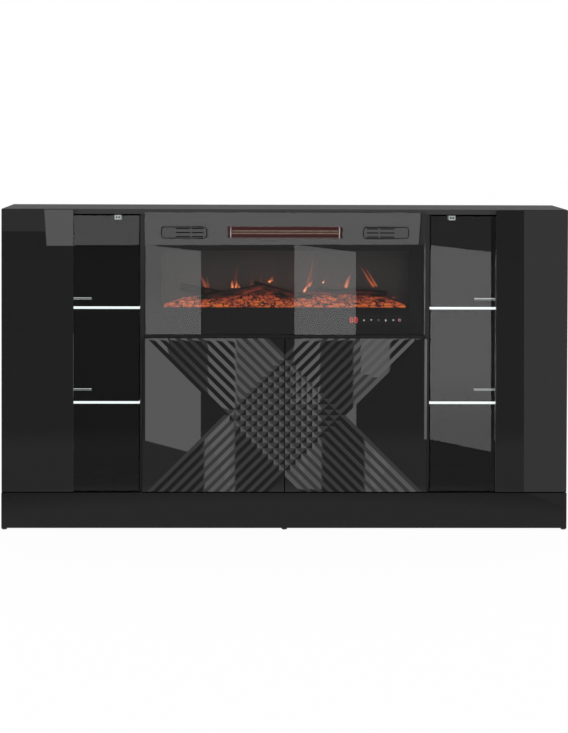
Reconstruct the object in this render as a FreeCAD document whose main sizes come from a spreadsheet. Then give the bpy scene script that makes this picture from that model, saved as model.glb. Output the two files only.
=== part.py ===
import FreeCAD, Part
import os
import math
import Sketcher
from FreeCAD import Vector

# Sideboard with an electric fireplace, in millimetres.
# Frame: +X to the viewer's right, -Y to the front, +Z up; the origin is the middle of the footprint.

DIMENSIONS = {
    # overall
    "body_width": 1800,
    "body_depth": 400,
    "body_height": 1020,
    # boards
    "board": 16,
    "door_board": 18,
    "board_edge": 0.8,
    "back_sheet": 4,
    "back_inset": 6,
    "door_gap": 2,
    "bay_width": 890,
    "bay_height": 385,
    "deck_height": 118,
    "rail_height": 80,
    "rear_plinth_inset": 24,
    # glides
    "glide_rise": 5,
    "glide_radius": 9,
    "glide_foot_radius": 7,
    "glide_chamfer": 2,
    # outer doors: board strip with a pane behind its inner edge
    "edge_reveal": 1,
    "door_foot_gap": 3,
    "strip_width": 228,
    "pane": 5,
    "pane_lap": 28,
    "pane_side_gap": 2,
    "pane_top_gap": 4.5,
    "pane_edge": 0.6,
    "retainer_lap": 12,
    "retainer_foot": 12,
    "retainer_cap": 3,
    "retainer_end_gap": 20,
    # carved middle doors
    "half_overlay": 8,
    "meeting_gap": 2,
    "shelf_reveal": 9,
    "ridge_pitch": 24.8,
    "ridge_count": 11,
    "groove_depth": 6,
    # glass shelves
    "glass_shelf": 8,
    "glass_drop": 300,
    "glass_spacing": 303,
    "glass_setback": 20,
    "glass_back_gap": 22,
    "glass_side_gap": 2,
    "glass_edge": 0.8,
    # shelf pins
    "pin_radius": 2.5,
    "pin_depth": 8,
    "pin_width": 10,
    "pin_reach": 11,
    "pin_ledge": 3,
    "pin_plate": 1.5,
    "pin_drop": 9,
    "pin_inset": 50,
    # lighting clips on the glass shelves and their driver
    "clip_width": 69,
    "clip_height": 14,
    "clip_grip": 8,
    "clip_wall": 4,
    "driver_width": 150,
    "driver_depth": 50,
    "driver_height": 22,
    "driver_back_gap": 10,
    # cup hinges, measured from a door's outer edge and from its face
    "pole_inset": 5,
    "cup_inset": 22,
    "cup_radius": 17.5,
    "cup_wall": 1.2,
    "cup_depth": 12,
    "cup_floor": 0.8,
    "cup_flange": 1,
    "cup_flange_width": 22,
    "cup_flange_length": 62,
    "nose_inset": 26,
    "nose_depth": 31,
    "nose_pin_radius": 1.5,
    "cheek_gap": 15.2,
    "cheek": 1.5,
    "arm_side": 4,
    "arm_front": 35,
    "arm_end": 80,
    "wing_start": 40,
    "wing_end": 74,
    "wing_width": 44,
    "wing": 2,
    "link_length": 19,
    "link": 2.4,
    "link_height": 14,
    "link_eye_radius": 3.2,
    "link_tip_radius": 2,
    "link_angle": 103,
    "end_hinge_inset": 100,
    # touch latches
    "latch_width": 21,
    "latch_height": 14,
    "latch_plate": 4,
    "latch_plate_width": 26,
    "latch_length": 62,
    "latch_front_gap": 5,
    "latch_offset": 71,
    "middle_latch_offset": 30,
    "latch_wall": 3,
    "latch_edge": 0.8,
    "latch_bore_depth": 24,
    "latch_cavity": 30,
    "plunger_radius": 3,
    "plunger_spacing": 8.4,
    "plunger_yoke": 6,
    "plunger_stop_gap": 2,
    # soft bumper dots
    "bumper_radius": 3,
    "bumper": 1.7,
    "bumper_offset": 70,
    # cam fittings
    "cam_radius": 7.5,
    "cam_depth": 12,
    "cam_inset": 24,
    "cam_end_inset": 50,
    "cam_slot": 2,
    # fireplace face
    "face_overlap": 2,
    "face_foot_gap": 1.5,
    "face_top_overlap": 6.5,
    "face_glass": 4,
    "face_plate": 2,
    "plate_inset": 1,
    "face_margin": 52.5,
    "window_rise": 88.7,
    "window_height": 180.3,
    "heater_width": 365,
    "outlet_rise": 307,
    "outlet_height": 39,
    "vent_gap": 65,
    "vent_round": 11,
    "vent_ring": 3,
    "vent_slot": 3.2,
    "vent_slot_round": 1,
    "vent_rows": 3,
    "vent_slot_margin": 12,
    "vent_short_slot": 37,
    "vent_slot_bridge": 5,
    "vent_long_slot": 46,
    # firebox
    "case_side_gap": 7,
    "case_top_gap": 4,
    "case_depth": 150,
    "case_sheet": 1.5,
    "lower_deck_rise": 82,
    "upper_deck_rise": 287,
    "screen": 3,
    "screen_setback": 85,
    # heater
    "grille": 1,
    "grille_lap": 4,
    "grille_columns": 52,
    "grille_rows": 5,
    "grille_wire": 1.1,
    "tube_radius": 3.4,
    "tube_pitch": 8,
    "tube_setback": 24,
    "tube_end_gap": 2,
    "support": 3.5,
    "support_inset": 11,
    "support_reach": 11,
    "support_back_rise": 12,
    "support_back_reach": 7,
    "reflector_radius": 18,
    "reflector_sheet": 1,
    # blower
    "blower_length": 220,
    "blower_radius": 22,
    "blower_setback": 98,
    "blower_disc": 2,
    "blower_shaft_radius": 3,
    "blower_blades": 18,
    "blade": 1,
    "blade_width": 6,
    "blower_wall": 2,
    "blower_gap": 4,
    "blower_motor_radius": 18,
    "blower_motor_length": 40,
    "motor_foot": 20,
    # flame effect
    "rotor_radius": 17,
    "rotor_shaft_radius": 2.5,
    "rotor_end_gap": 56.5,
    "rotor_setback": 118,
    "rotor_rise": 115,
    "foil_count": 30,
    "foil_width": 18,
    "foil": 0.8,
    "foil_turn": 50,
    "foil_end_gap": 8,
    "bearing": 4,
    "bearing_width": 16,
    "rotor_motor_radius": 15,
    "rotor_motor_length": 20,
    "rotor_motor_gap": 2,
    "ember_front": 6,
    "ember_rear_gap": 2,
    "ember_end_gap": 51.5,
    "ember_edge_rise": 8,
    "ember_rise": 40,
    "ember_front_rise": 12,
    "log_radius": 13,
    "log_taper": 3,
    "log_sink": 6,
    "log_length": 230,
    "led_end_gap": 10,
    "led_depth": 16,
    "led_board": 1.6,
    "led_gap": 2,
    # controls
    "touch_width": 180,
    "touch_height": 26,
    "touch_rise": 35.5,
    "touch_margin": 71,
    "touch_recess": 0.5,
    "touch_plate": 3,
    "touch_lap": 4,
    # fixing of the firebox, and its inlet
    "bracket_width": 40,
    "bracket_leg": 32,
    "bracket_rise": 45,
    "bracket_sheet": 2,
    "bracket_margin": 204,
    "bracket_floor_hole": 19.2,
    "bracket_wall_hole": 31.5,
    "screw_radius": 2,
    "screw_head_radius": 4,
    "screw_head": 2.4,
    "inlet_width": 46,
    "inlet_height": 26,
    "inlet_flange": 3,
    "inlet_body_width": 30,
    "inlet_body_height": 20,
    "inlet_body_depth": 22,
    "inlet_pocket": 15,
    "inlet_wall": 3,
    "inlet_pin": 2,
    "inlet_pin_pitch": 6,
    "inlet_margin": 108,
    "inlet_rise": 40,
    # clearances
    "play": 0.3,
    "overrun": 2,
}

doc = FreeCAD.newDocument("Sideboard")
sheet = doc.addObject("Spreadsheet::Sheet", "Dims")
for row, (alias, size) in enumerate(DIMENSIONS.items(), start=1):
    sheet.set(f"A{row}", alias)
    sheet.set(f"B{row}", str(size))
    sheet.setAlias(f"B{row}", alias)
doc.recompute()

NODES = {}


def d(alias):
    """A driving dimension, written as an expression."""
    return f"Dims.{alias}"


def value(expression):
    """The number that an expression of driving dimensions gives."""
    return float(sheet.evalExpression(str(expression)))


def minus(expression):
    return f"(-({expression}))"


def span(side, low, high):
    """The same stretch on the right side (side 1) or mirrored to the left (side -1)."""
    if side > 0:
        return low, high
    return minus(high), minus(low)


def bind(thing, **properties):
    for name, expression in properties.items():
        thing.setExpression(name, str(expression))


def put(thing, x, y, z):
    thing.setExpression("Placement.Base.x", str(x))
    thing.setExpression("Placement.Base.y", str(y))
    thing.setExpression("Placement.Base.z", str(z))


def box(name, xs, ys, zs):
    """A plain block between three pairs of limits."""
    block = doc.addObject("Part::Box", name)
    bind(block,
         Length=f"({xs[1]}) - ({xs[0]})",
         Width=f"({ys[1]}) - ({ys[0]})",
         Height=f"({zs[1]}) - ({zs[0]})")
    put(block, xs[0], ys[0], zs[0])
    return block


TURNS = {
    "x": FreeCAD.Rotation(Vector(0, 1, 0), 90),
    "y": FreeCAD.Rotation(Vector(1, 0, 0), -90),
    "z": FreeCAD.Rotation(),
}


def rod(name, axis, start, radius, length):
    """A cylinder that runs from its start point along +X, +Y or +Z."""
    round_bar = doc.addObject("Part::Cylinder", name)
    round_bar.Placement = FreeCAD.Placement(Vector(), TURNS[axis])
    bind(round_bar, Radius=radius, Height=length)
    put(round_bar, *start)
    return round_bar


def cone(name, start, low_radius, high_radius, length):
    taper = doc.addObject("Part::Cone", name)
    bind(taper, Radius1=low_radius, Radius2=high_radius, Height=length)
    put(taper, *start)
    return taper


def slab(name, xs, ys, zs, edge):
    """A board or pane with eased edges: a rectangle padded upwards, chamfered all round."""
    body = doc.addObject("PartDesign::Body", name)
    sketch = body.newObject("Sketcher::SketchObject", name + "_outline")
    plane = [p for p in body.Origin.OriginFeatures if p.Role == "XY_Plane"][0]
    sketch.AttachmentSupport = [(plane, "")]
    sketch.MapMode = "FlatFace"
    length = value(f"({xs[1]}) - ({xs[0]})")
    width = value(f"({ys[1]}) - ({ys[0]})")
    corners = [Vector(0, 0, 0), Vector(length, 0, 0), Vector(length, width, 0), Vector(0, width, 0)]
    for k in range(4):
        sketch.addGeometry(Part.LineSegment(corners[k], corners[(k + 1) % 4]), False)
    for k in range(4):
        sketch.addConstraint(Sketcher.Constraint("Coincident", k, 2, (k + 1) % 4, 1))
    for k in (0, 2):
        sketch.addConstraint(Sketcher.Constraint("Horizontal", k))
        sketch.addConstraint(Sketcher.Constraint("Vertical", k + 1))
    sketch.addConstraint(Sketcher.Constraint("Coincident", 0, 1, -1, 1))
    long_side = sketch.addConstraint(Sketcher.Constraint("DistanceX", 0, 1, 0, 2, length))
    short_side = sketch.addConstraint(Sketcher.Constraint("DistanceY", 1, 1, 1, 2, width))
    sketch.renameConstraint(long_side, "long_side")
    sketch.renameConstraint(short_side, "short_side")
    sketch.setExpression("Constraints.long_side", f"({xs[1]}) - ({xs[0]})")
    sketch.setExpression("Constraints.short_side", f"({ys[1]}) - ({ys[0]})")
    pad = body.newObject("PartDesign::Pad", name + "_pad")
    pad.Profile = sketch
    pad.setExpression("Length", f"({zs[1]}) - ({zs[0]})")
    sketch.Visibility = False
    doc.recompute()
    chamfer = body.newObject("PartDesign::Chamfer", name + "_edges")
    chamfer.Base = (pad, ["Face1"])
    chamfer.UseAllEdges = True
    chamfer.setExpression("Size", edge)
    put(body, xs[0], ys[0], zs[0])
    return body


def joined(name, pieces):
    union = doc.addObject("Part::MultiFuse", name)
    union.Shapes = pieces
    union.Refine = True
    return union


def cut(name, base, tools):
    tool = tools[0] if len(tools) == 1 else joined(name + "_tools", tools)
    result = doc.addObject("Part::Cut", name)
    result.Base = base
    result.Tool = tool
    return result


def group(name, pieces):
    """Several separate solids that share one node."""
    together = doc.addObject("Part::Compound", name)
    together.Links = pieces
    return together


def formed(name, shape):
    """A piece whose shape is worked out from the sheet's values."""
    piece = doc.addObject("Part::Feature", name)
    piece.Shape = shape
    piece.Placement = FreeCAD.Placement()
    return piece


def node(name, thing):
    thing.Label = name
    NODES[name] = thing
    return thing


def sides():
    return ((-1, "left"), (1, "right"))


# Planes that many pieces share
half_width = f"({d('body_width')} / 2)"
front = f"(-{d('body_depth')} / 2)"
back = f"({d('body_depth')} / 2)"
door_back = f"({front} + {d('door_board')})"
carcass_front = f"({door_back} + {d('door_gap')})"
sheet_back = f"({back} - {d('back_inset')})"
sheet_front = f"({sheet_back} - {d('back_sheet')})"
top = d("body_height")
top_under = f"({top} - {d('board')})"
side_inner = f"({half_width} - {d('board')})"
deck_top = d("deck_height")
deck_under = f"({deck_top} - {d('board')})"
foot = d("glide_rise")
bay_half = f"({d('bay_width')} / 2)"
divider_outer = f"({bay_half} + {d('board')})"
shelf_top = f"({top_under} - {d('bay_height')})"
shelf_under = f"({shelf_top} - {d('board')})"
door_foot = f"({deck_top} + {d('door_foot_gap')})"
strip_outer = f"({half_width} - {d('edge_reveal')})"
strip_inner = f"({strip_outer} - {d('strip_width')})"
strip_top = f"({top} - {d('edge_reveal')})"
pane_back = f"({door_back} + {d('pane')})"
pane_inner = f"({divider_outer} + {d('pane_side_gap')})"
pane_outer = f"({strip_inner} + {d('pane_lap')})"
pane_top = f"({top_under} - {d('pane_top_gap')})"
middle_outer = f"({bay_half} + {d('half_overlay')})"
middle_inner = f"({d('meeting_gap')} / 2)"
middle_top = f"({shelf_top} - {d('shelf_reveal')})"
glass_front = f"({carcass_front} + {d('glass_setback')})"
glass_rear = f"({sheet_front} - {d('glass_back_gap')})"
compartment_middle = f"(({divider_outer} + {side_inner}) / 2)"
upper_glass = f"({top_under} - {d('glass_drop')})"
lower_glass = f"({upper_glass} - {d('glass_spacing')})"
GLASS_HEIGHTS = (("upper", upper_glass), ("lower", lower_glass))


def pin_places(height):
    """Front and rear place of a shelf pin's shank, along Y, and its height."""
    low = f"({height} - {d('glass_shelf')} / 2 - {d('pin_drop')} + {d('pin_radius')})"
    return [(f"({glass_front} + {d('pin_inset')})", low), (f"({glass_rear} - {d('pin_inset')})", low)]


def pin_holes(name, side, face, into):
    """Blind holes for the shelf pins in one board, drilled along X from its face."""
    holes = []
    for label, height in GLASS_HEIGHTS:
        for index, (y, z) in enumerate(pin_places(height)):
            low, high = (face, f"({face} + {d('pin_depth')})")
            if into < 0:
                low, high = (f"({face} - {d('pin_depth')})", face)
            low, high = span(side, low, high)
            holes.append(rod(f"{name}_{label}_{index}", "x", (low, y, z),
                             f"{d('pin_radius')} + {d('play')}", f"({high}) - ({low})"))
    return holes


# Hinge heights: an outer door's end hinges lie this share of the way from its end to the nearest glass shelf
END_HINGE_SHARE = 0.4
strip_hinges = [f"({door_foot} + {END_HINGE_SHARE} * ({lower_glass} - {door_foot}))",
                f"(({lower_glass} + {upper_glass}) / 2)",
                f"({strip_top} - {END_HINGE_SHARE} * ({strip_top} - {upper_glass}))"]
middle_hinges = [f"({door_foot} + {d('end_hinge_inset')})",
                 f"({middle_top} - {d('end_hinge_inset')})"]
HINGED = (("side_door", strip_outer, side_inner, strip_hinges),
          ("centre_door", middle_outer, bay_half, middle_hinges))


def make_carcass():
    """Top, bottom, side panels, dividers, fixed shelf, plinth and backs."""
    edge = d("board_edge")
    node("top_panel", slab("top_panel_board", (minus(half_width), half_width),
                           (carcass_front, back), (top_under, top), edge))
    bottom = slab("bottom_board", (minus(side_inner), side_inner),
                  (carcass_front, sheet_front), (deck_under, deck_top), edge)
    node("bottom_panel", cut("bottom_panel_drilled", bottom, cam_bores("bottom", side_inner, deck_under)))
    shelf = slab("shelf_board", (minus(bay_half), bay_half),
                 (carcass_front, sheet_front), (shelf_under, shelf_top), edge)
    node("fireplace_shelf", cut("fireplace_shelf_drilled", shelf, cam_bores("shelf", bay_half, shelf_under)))
    panels = []
    dividers = []
    seam = f"(({bay_half} + {divider_outer}) / 2)"
    backs = [box("back_centre", (minus(seam), seam), (sheet_front, sheet_back),
                 (deck_under, f"(({shelf_under} + {shelf_top}) / 2)"))]
    for side, name in sides():
        xs = span(side, side_inner, half_width)
        panel = slab(f"side_{name}_board", xs, (carcass_front, back), (foot, top_under), edge)
        holes = pin_holes(f"side_{name}_hole", side, side_inner, 1)
        panels.append(cut(f"side_{name}_drilled", panel, holes))
        xs = span(side, bay_half, divider_outer)
        panel = slab(f"divider_{name}_board", xs, (carcass_front, sheet_front), (deck_top, top_under), edge)
        holes = pin_holes(f"divider_{name}_hole", side, divider_outer, -1)
        dividers.append(cut(f"divider_{name}_drilled", panel, holes))
        xs = span(side, seam, side_inner)
        backs.append(box(f"back_{name}", xs, (sheet_front, sheet_back), (deck_under, top_under)))
    node("side_panels", group("side_panel_pair", panels))
    node("dividers", group("divider_pair", dividers))
    node("back_panels", group("back_panel_set", backs))
    plinth_front_face = f"({carcass_front} - {d('door_board')})"
    node("plinth_front", slab("plinth_front_board", (minus(half_width), half_width),
                              (plinth_front_face, carcass_front), (foot, deck_top), edge))
    rear_face = f"({sheet_front} - {d('rear_plinth_inset')})"
    rails = [slab("plinth_rear_rail", (minus(side_inner), side_inner),
                  (f"({rear_face} - {d('board')})", rear_face), (foot, deck_under), edge),
             slab("plinth_middle_rail", (f"(-{d('board')} / 2)", f"({d('board')} / 2)"),
                  (carcass_front, f"({rear_face} - {d('board')})"), (foot, deck_under), edge),
             slab("bay_rear_rail", (minus(bay_half), bay_half),
                  (f"({sheet_front} - {d('board')})", sheet_front),
                  (f"({top_under} - {d('rail_height')})", top_under), edge)]
    node("carcass_rails", group("rail_set", rails))
    glides = []
    places = [(x, y) for y in (f"({plinth_front_face} + {d('door_board')} / 2)",
                               f"({rear_face} - {d('board')} / 2)")
              for x in (minus(f"{half_width} - {d('glide_radius')}"), "0",
                        f"({half_width} - {d('glide_radius')})")]
    for index, (x, y) in enumerate(places):
        tread = cone(f"glide_tread_{index}", (x, y, "0"), d("glide_foot_radius"),
                     d("glide_radius"), d("glide_chamfer"))
        disc = rod(f"glide_disc_{index}", "z", (x, y, d("glide_chamfer")), d("glide_radius"),
                   f"{foot} - {d('glide_chamfer')}")
        glides.append(joined(f"glide_{index}", [tread, disc]))
    node("floor_glides", group("glide_set", glides))


def cam_places(edge_x):
    for side, name in sides():
        x = f"({side} * ({edge_x} - {d('cam_inset')}))"
        for end, y in (("front", f"({carcass_front} + {d('cam_end_inset')})"),
                       ("rear", f"({sheet_front} - {d('cam_end_inset')})")):
            yield f"{name}_{end}", x, y


def cam_bores(name, edge_x, under):
    radius = f"{d('cam_radius')} + {d('play')}"
    return [rod(f"{name}_bore_{label}", "z", (x, y, under), radius, d("cam_depth"))
            for label, x, y in cam_places(edge_x)]


def make_small_fixings():
    """Cam fittings under the fixed boards, and the dots that the doors close on."""
    cams = []
    for name, edge_x, under in (("bottom", side_inner, deck_under), ("shelf", bay_half, shelf_under)):
        for label, x, y in cam_places(edge_x):
            disc = rod(f"{name}_cam_{label}", "z", (x, y, under), d("cam_radius"), d("cam_depth"))
            slot = box(f"{name}_cam_slot_{label}",
                       (f"({x} - {d('cam_radius')} / 2)", f"({x} + {d('cam_radius')} / 2)"),
                       (f"({y} - {d('cam_slot')} / 2)", f"({y} + {d('cam_slot')} / 2)"),
                       (f"({under} - {d('overrun')})", f"({under} + {d('cam_slot')})"))
            cams.append(cut(f"{name}_cam_cut_{label}", disc, [slot]))
    node("cam_fittings", group("cam_set", cams))
    dots = []
    start = f"({carcass_front} - {d('bumper')})"
    for side, name in sides():
        x = f"({side} * {d('bumper_offset')})"
        z = f"(({shelf_under} + {middle_top}) / 2)"
        dots.append(rod(f"dot_middle_{name}", "y", (x, start, z), d("bumper_radius"), d("bumper")))
        x = f"({side} * ({strip_inner} + {d('bumper_offset')} / 2))"
        z = f"({top_under} + {d('board')} / 2)"
        dots.append(rod(f"dot_strip_{name}", "y", (x, start, z), d("bumper_radius"), d("bumper")))
    node("door_bumpers", group("dot_set", dots))


def make_glass_shelves():
    """Four full-width glass shelves with their pins and lighting clips."""
    panes = []
    pins = []
    clips = []
    for side, name in sides():
        for label, height in GLASS_HEIGHTS:
            low = f"({height} - {d('glass_shelf')} / 2)"
            high = f"({height} + {d('glass_shelf')} / 2)"
            xs = span(side, f"({divider_outer} + {d('glass_side_gap')})",
                      f"({side_inner} - {d('glass_side_gap')})")
            panes.append(slab(f"pane_{label}_{name}", xs, (glass_front, glass_rear), (low, high),
                              d("glass_edge")))
            for wall, face, way in (("in", divider_outer, 1), ("out", side_inner, -1)):
                for index, (y, z) in enumerate(pin_places(height)):
                    pins.append(shelf_pin(f"pin_{name}_{label}_{wall}_{index}", side, face, way, y, z, low))
            xs = (f"({side} * {compartment_middle} - {d('clip_width')} / 2)",
                  f"({side} * {compartment_middle} + {d('clip_width')} / 2)")
            shell = box(f"clip_{label}_{name}", xs,
                        (f"({glass_rear} - {d('clip_grip')})", f"({glass_rear} + {d('clip_wall')})"),
                        (f"({height} - {d('clip_height')} / 2)", f"({height} + {d('clip_height')} / 2)"))
            mouth = box(f"clip_mouth_{label}_{name}",
                        (f"({xs[0]} - {d('overrun')})", f"({xs[1]} + {d('overrun')})"),
                        (f"({glass_rear} - {d('clip_grip')} - {d('overrun')})", glass_rear), (low, high))
            clips.append(cut(f"clip_cut_{label}_{name}", shell, [mouth]))
    node("glass_shelves", group("glass_shelf_set", panes))
    node("shelf_pins", group("pin_set", pins))
    node("light_clips", group("clip_set", clips))
    rear = f"({sheet_front} - {d('driver_back_gap')})"
    node("light_driver", slab("driver_case", (f"(-{d('driver_width')} / 2)", f"({d('driver_width')} / 2)"),
                              (f"({rear} - {d('driver_depth')})", rear),
                              (f"({shelf_under} - {d('driver_height')})", shelf_under), d("glass_edge")))


def shelf_pin(name, side, face, way, y, z, glass_under):
    """A shank in the board's hole, a small plate on its face and a ledge under the glass."""
    shank_x = (f"({face} - {d('pin_depth')})", face) if way > 0 else (face, f"({face} + {d('pin_depth')})")
    plate_x = (face, f"({face} + {d('pin_plate')})") if way > 0 else (f"({face} - {d('pin_plate')})", face)
    ledge_x = (face, f"({face} + {d('pin_reach')})") if way > 0 else (f"({face} - {d('pin_reach')})", face)
    low, high = span(side, *shank_x)
    shank = rod(name + "_shank", "x", (low, y, z), d("pin_radius"), f"({high}) - ({low})")
    ys = (f"({y} - {d('pin_width')} / 2)", f"({y} + {d('pin_width')} / 2)")
    foot_z = f"({glass_under} - {d('pin_drop')})"
    plate = box(name + "_plate", span(side, *plate_x), ys, (foot_z, glass_under))
    ledge = box(name + "_ledge", span(side, *ledge_x), ys,
                (f"({glass_under} - {d('pin_ledge')})", glass_under))
    return joined(name, [shank, plate, ledge])


def from_door_edge(side, outer, inset):
    """X of a place that lies inset from a door's outer edge."""
    return f"({side} * ({outer} - ({inset})))"


def cup_bores(name, side, outer, heights):
    bores = []
    for index, z in enumerate(heights):
        start = f"({door_back} - {d('cup_depth')})"
        bores.append(rod(f"{name}_cup_bore_{index}", "y",
                         (from_door_edge(side, outer, d("cup_inset")), start, z),
                         f"{d('cup_radius')} + {d('play')}", f"{d('cup_depth')} + {d('overrun')}"))
    return bores


def make_outer_doors():
    """A gloss board strip, the pane fixed behind its inner edge, and the strip that holds the pane."""
    for side, name in sides():
        strip = slab(f"strip_{name}_board", span(side, strip_inner, strip_outer),
                     (front, door_back), (door_foot, strip_top), d("board_edge"))
        node(f"side_door_{name}", cut(f"strip_{name}_bored", strip,
                                      cup_bores(f"strip_{name}", side, strip_outer, strip_hinges)))
        node(f"door_glass_{name}", slab(f"pane_{name}", span(side, pane_inner, pane_outer),
                                        (door_back, pane_back), (door_foot, pane_top), d("pane_edge")))
        zs = (f"({door_foot} + {d('retainer_end_gap')})", f"({pane_top} - {d('retainer_end_gap')})")
        beside = f"({pane_outer} + {d('play')})"
        outer = f"({beside} + {d('retainer_foot')})"
        stem = box(f"retainer_stem_{name}", span(side, beside, outer),
                   (door_back, f"({pane_back} + {d('retainer_cap')})"), zs)
        cap = box(f"retainer_cap_{name}", span(side, f"({pane_outer} - {d('retainer_lap')})", outer),
                  (pane_back, f"({pane_back} + {d('retainer_cap')})"), zs)
        node(f"pane_retainer_{name}", joined(f"retainer_{name}", [stem, cap]))


def groove_band(name, rising):
    """A bar of parallel V grooves at 45 degrees through the middle of the pair of doors.

    The section is a zigzag: each groove falls from the face to its depth and rises again.
    """
    pitch = value(d("ridge_pitch"))
    count = int(value(d("ridge_count")))
    depth = value(d("groove_depth"))
    over = value(d("overrun"))
    face = value(front)
    centre = Vector(0, 0, value(f"({door_foot} + {middle_top}) / 2"))
    reach = value(f"{bay_half} + {middle_top}")
    slope = math.radians(45 if rising else -45)
    along = Vector(math.cos(slope), 0, math.sin(slope))
    across = Vector(math.sin(slope), 0, -math.cos(slope))
    start = centre - along * (reach / 2) - across * (pitch * count / 2)
    outward = Vector(0, -1, 0)
    points = [start + outward * (over - face)]
    for k in range(count):
        points.append(start + across * (pitch * k) + outward * (-face))
        points.append(start + across * (pitch * (k + 0.5)) + outward * (-face - depth))
    points.append(start + across * (pitch * count) + outward * (-face))
    points.append(start + across * (pitch * count) + outward * (over - face))
    points.append(points[0])
    section = Part.Face(Part.makePolygon(points))
    return formed(name, section.extrude(along * reach))


def make_middle_doors():
    """Two doors that meet in the middle, carved with two crossing bands of V grooves."""
    for side, name in sides():
        board = slab(f"middle_{name}_board", span(side, middle_inner, middle_outer),
                     (front, door_back), (door_foot, middle_top), d("board_edge"))
        carving = [groove_band(f"rising_band_{name}", True), groove_band(f"falling_band_{name}", False)]
        once = cut(f"middle_{name}_rising", board, [carving[0]])
        twice = cut(f"middle_{name}_falling", once, [carving[1]])
        node(f"centre_door_{name}", cut(f"middle_{name}_bored", twice,
                                        cup_bores(f"middle_{name}", side, middle_outer, middle_hinges)))


def hinge_cup(name, side, outer, z):
    """A cup shell in the door's bore with a flange on the door's back."""
    x = from_door_edge(side, outer, d("cup_inset"))
    shell = rod(name + "_shell", "y", (x, f"({door_back} - {d('cup_depth')})", z), d("cup_radius"),
                f"{d('cup_depth')} + {d('cup_flange')}")
    flange = box(name + "_flange",
                 (f"({x} - {d('cup_flange_width')} / 2)", f"({x} + {d('cup_flange_width')} / 2)"),
                 (door_back, f"({door_back} + {d('cup_flange')})"),
                 (f"({z} - {d('cup_flange_length')} / 2)", f"({z} + {d('cup_flange_length')} / 2)"))
    hollow = rod(name + "_hollow", "y",
                 (x, f"({door_back} - {d('cup_depth')} + {d('cup_floor')})", z),
                 f"{d('cup_radius')} - {d('cup_wall')}", f"{d('cup_depth')} + {d('cup_flange')}")
    return cut(name, joined(name + "_solid", [shell, flange]), [hollow])


def hinge_arm(name, side, outer, board_face, z):
    """A winged plate on the board, the arm on it, two cheeks and the pin that the link turns on."""
    edge_inset = f"({outer} - {board_face})"
    nose_x = from_door_edge(side, outer, d("nose_inset"))
    nose_y = f"({front} + {d('nose_depth')})"
    half_cheek = f"({d('cheek_gap')} / 2)"
    full_cheek = f"({half_cheek} + {d('cheek')})"
    arm_inner = f"({d('nose_inset')} + {d('arm_side')})"

    def stretch(low, high):
        ends = (f"({outer} - ({high}))", f"({outer} - ({low}))")
        return span(side, *ends)

    wing = box(name + "_wing", stretch(edge_inset, f"({edge_inset} + {d('wing')})"),
               (f"({front} + {d('wing_start')})", f"({front} + {d('wing_end')})"),
               (f"({z} - {d('wing_width')} / 2)", f"({z} + {d('wing_width')} / 2)"))
    arm = box(name + "_arm", stretch(edge_inset, arm_inner),
              (f"({front} + {d('arm_front')})", f"({front} + {d('arm_end')})"),
              (f"({z} - {full_cheek})", f"({z} + {full_cheek})"))
    cheek_x = stretch(f"({d('nose_inset')} - {d('arm_side')})", arm_inner)
    cheek_y = (f"({nose_y} - {d('arm_side')})", f"({front} + {d('arm_front')})")
    upper = box(name + "_upper_cheek", cheek_x, cheek_y, (f"({z} + {half_cheek})", f"({z} + {full_cheek})"))
    lower = box(name + "_lower_cheek", cheek_x, cheek_y, (f"({z} - {full_cheek})", f"({z} - {half_cheek})"))
    pin = rod(name + "_pin", "z", (nose_x, nose_y, f"({z} - {full_cheek})"), d("nose_pin_radius"),
              f"2 * {full_cheek}")
    return joined(name, [wing, arm, upper, lower, pin])


def hinge_link(name, side, outer, z):
    """A flat link: an eye on the arm's pin and a rounded tip that reaches into the cup."""
    nose = Vector(value(from_door_edge(side, outer, d("nose_inset"))), value(f"{front} + {d('nose_depth')}"),
                  value(f"{z} - {d('link_height')} / 2"))
    height = Vector(0, 0, value(d("link_height")))
    turn = math.radians(value(d("link_angle")))
    along = Vector(-side * math.cos(turn), -math.sin(turn), 0)
    across = Vector(-along.y, along.x, 0) * (value(d("link")) / 2)
    tip = nose + along * value(d("link_length"))
    corners = [nose - across, tip - across, tip + across, nose + across, nose - across]
    bar = Part.Face(Part.makePolygon(corners)).extrude(height)
    eye = Part.makeCylinder(value(d("link_eye_radius")), height.z, nose)
    end = Part.makeCylinder(value(d("link_tip_radius")), height.z, tip)
    hole = Part.makeCylinder(value(f"{d('nose_pin_radius')} + {d('play')}"), height.z, nose)
    return formed(name, bar.fuse([eye, end]).removeSplitter().cut(hole))


def make_hinges():
    arms = []
    for door, outer, board_face, heights in HINGED:
        for side, name in sides():
            for kind, maker in (("cup", hinge_cup), ("link", hinge_link)):
                made = [maker(f"{door}_{kind}_{name}_{k}", side, outer, z) for k, z in enumerate(heights)]
                node(f"{door}_hinge_{kind}s_{name}", group(f"{door}_{kind}_set_{name}", made))
            arms += [hinge_arm(f"{door}_arm_{name}_{k}", side, outer, board_face, z)
                     for k, z in enumerate(heights)]
    node("hinge_arms", group("arm_set", arms))


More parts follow.
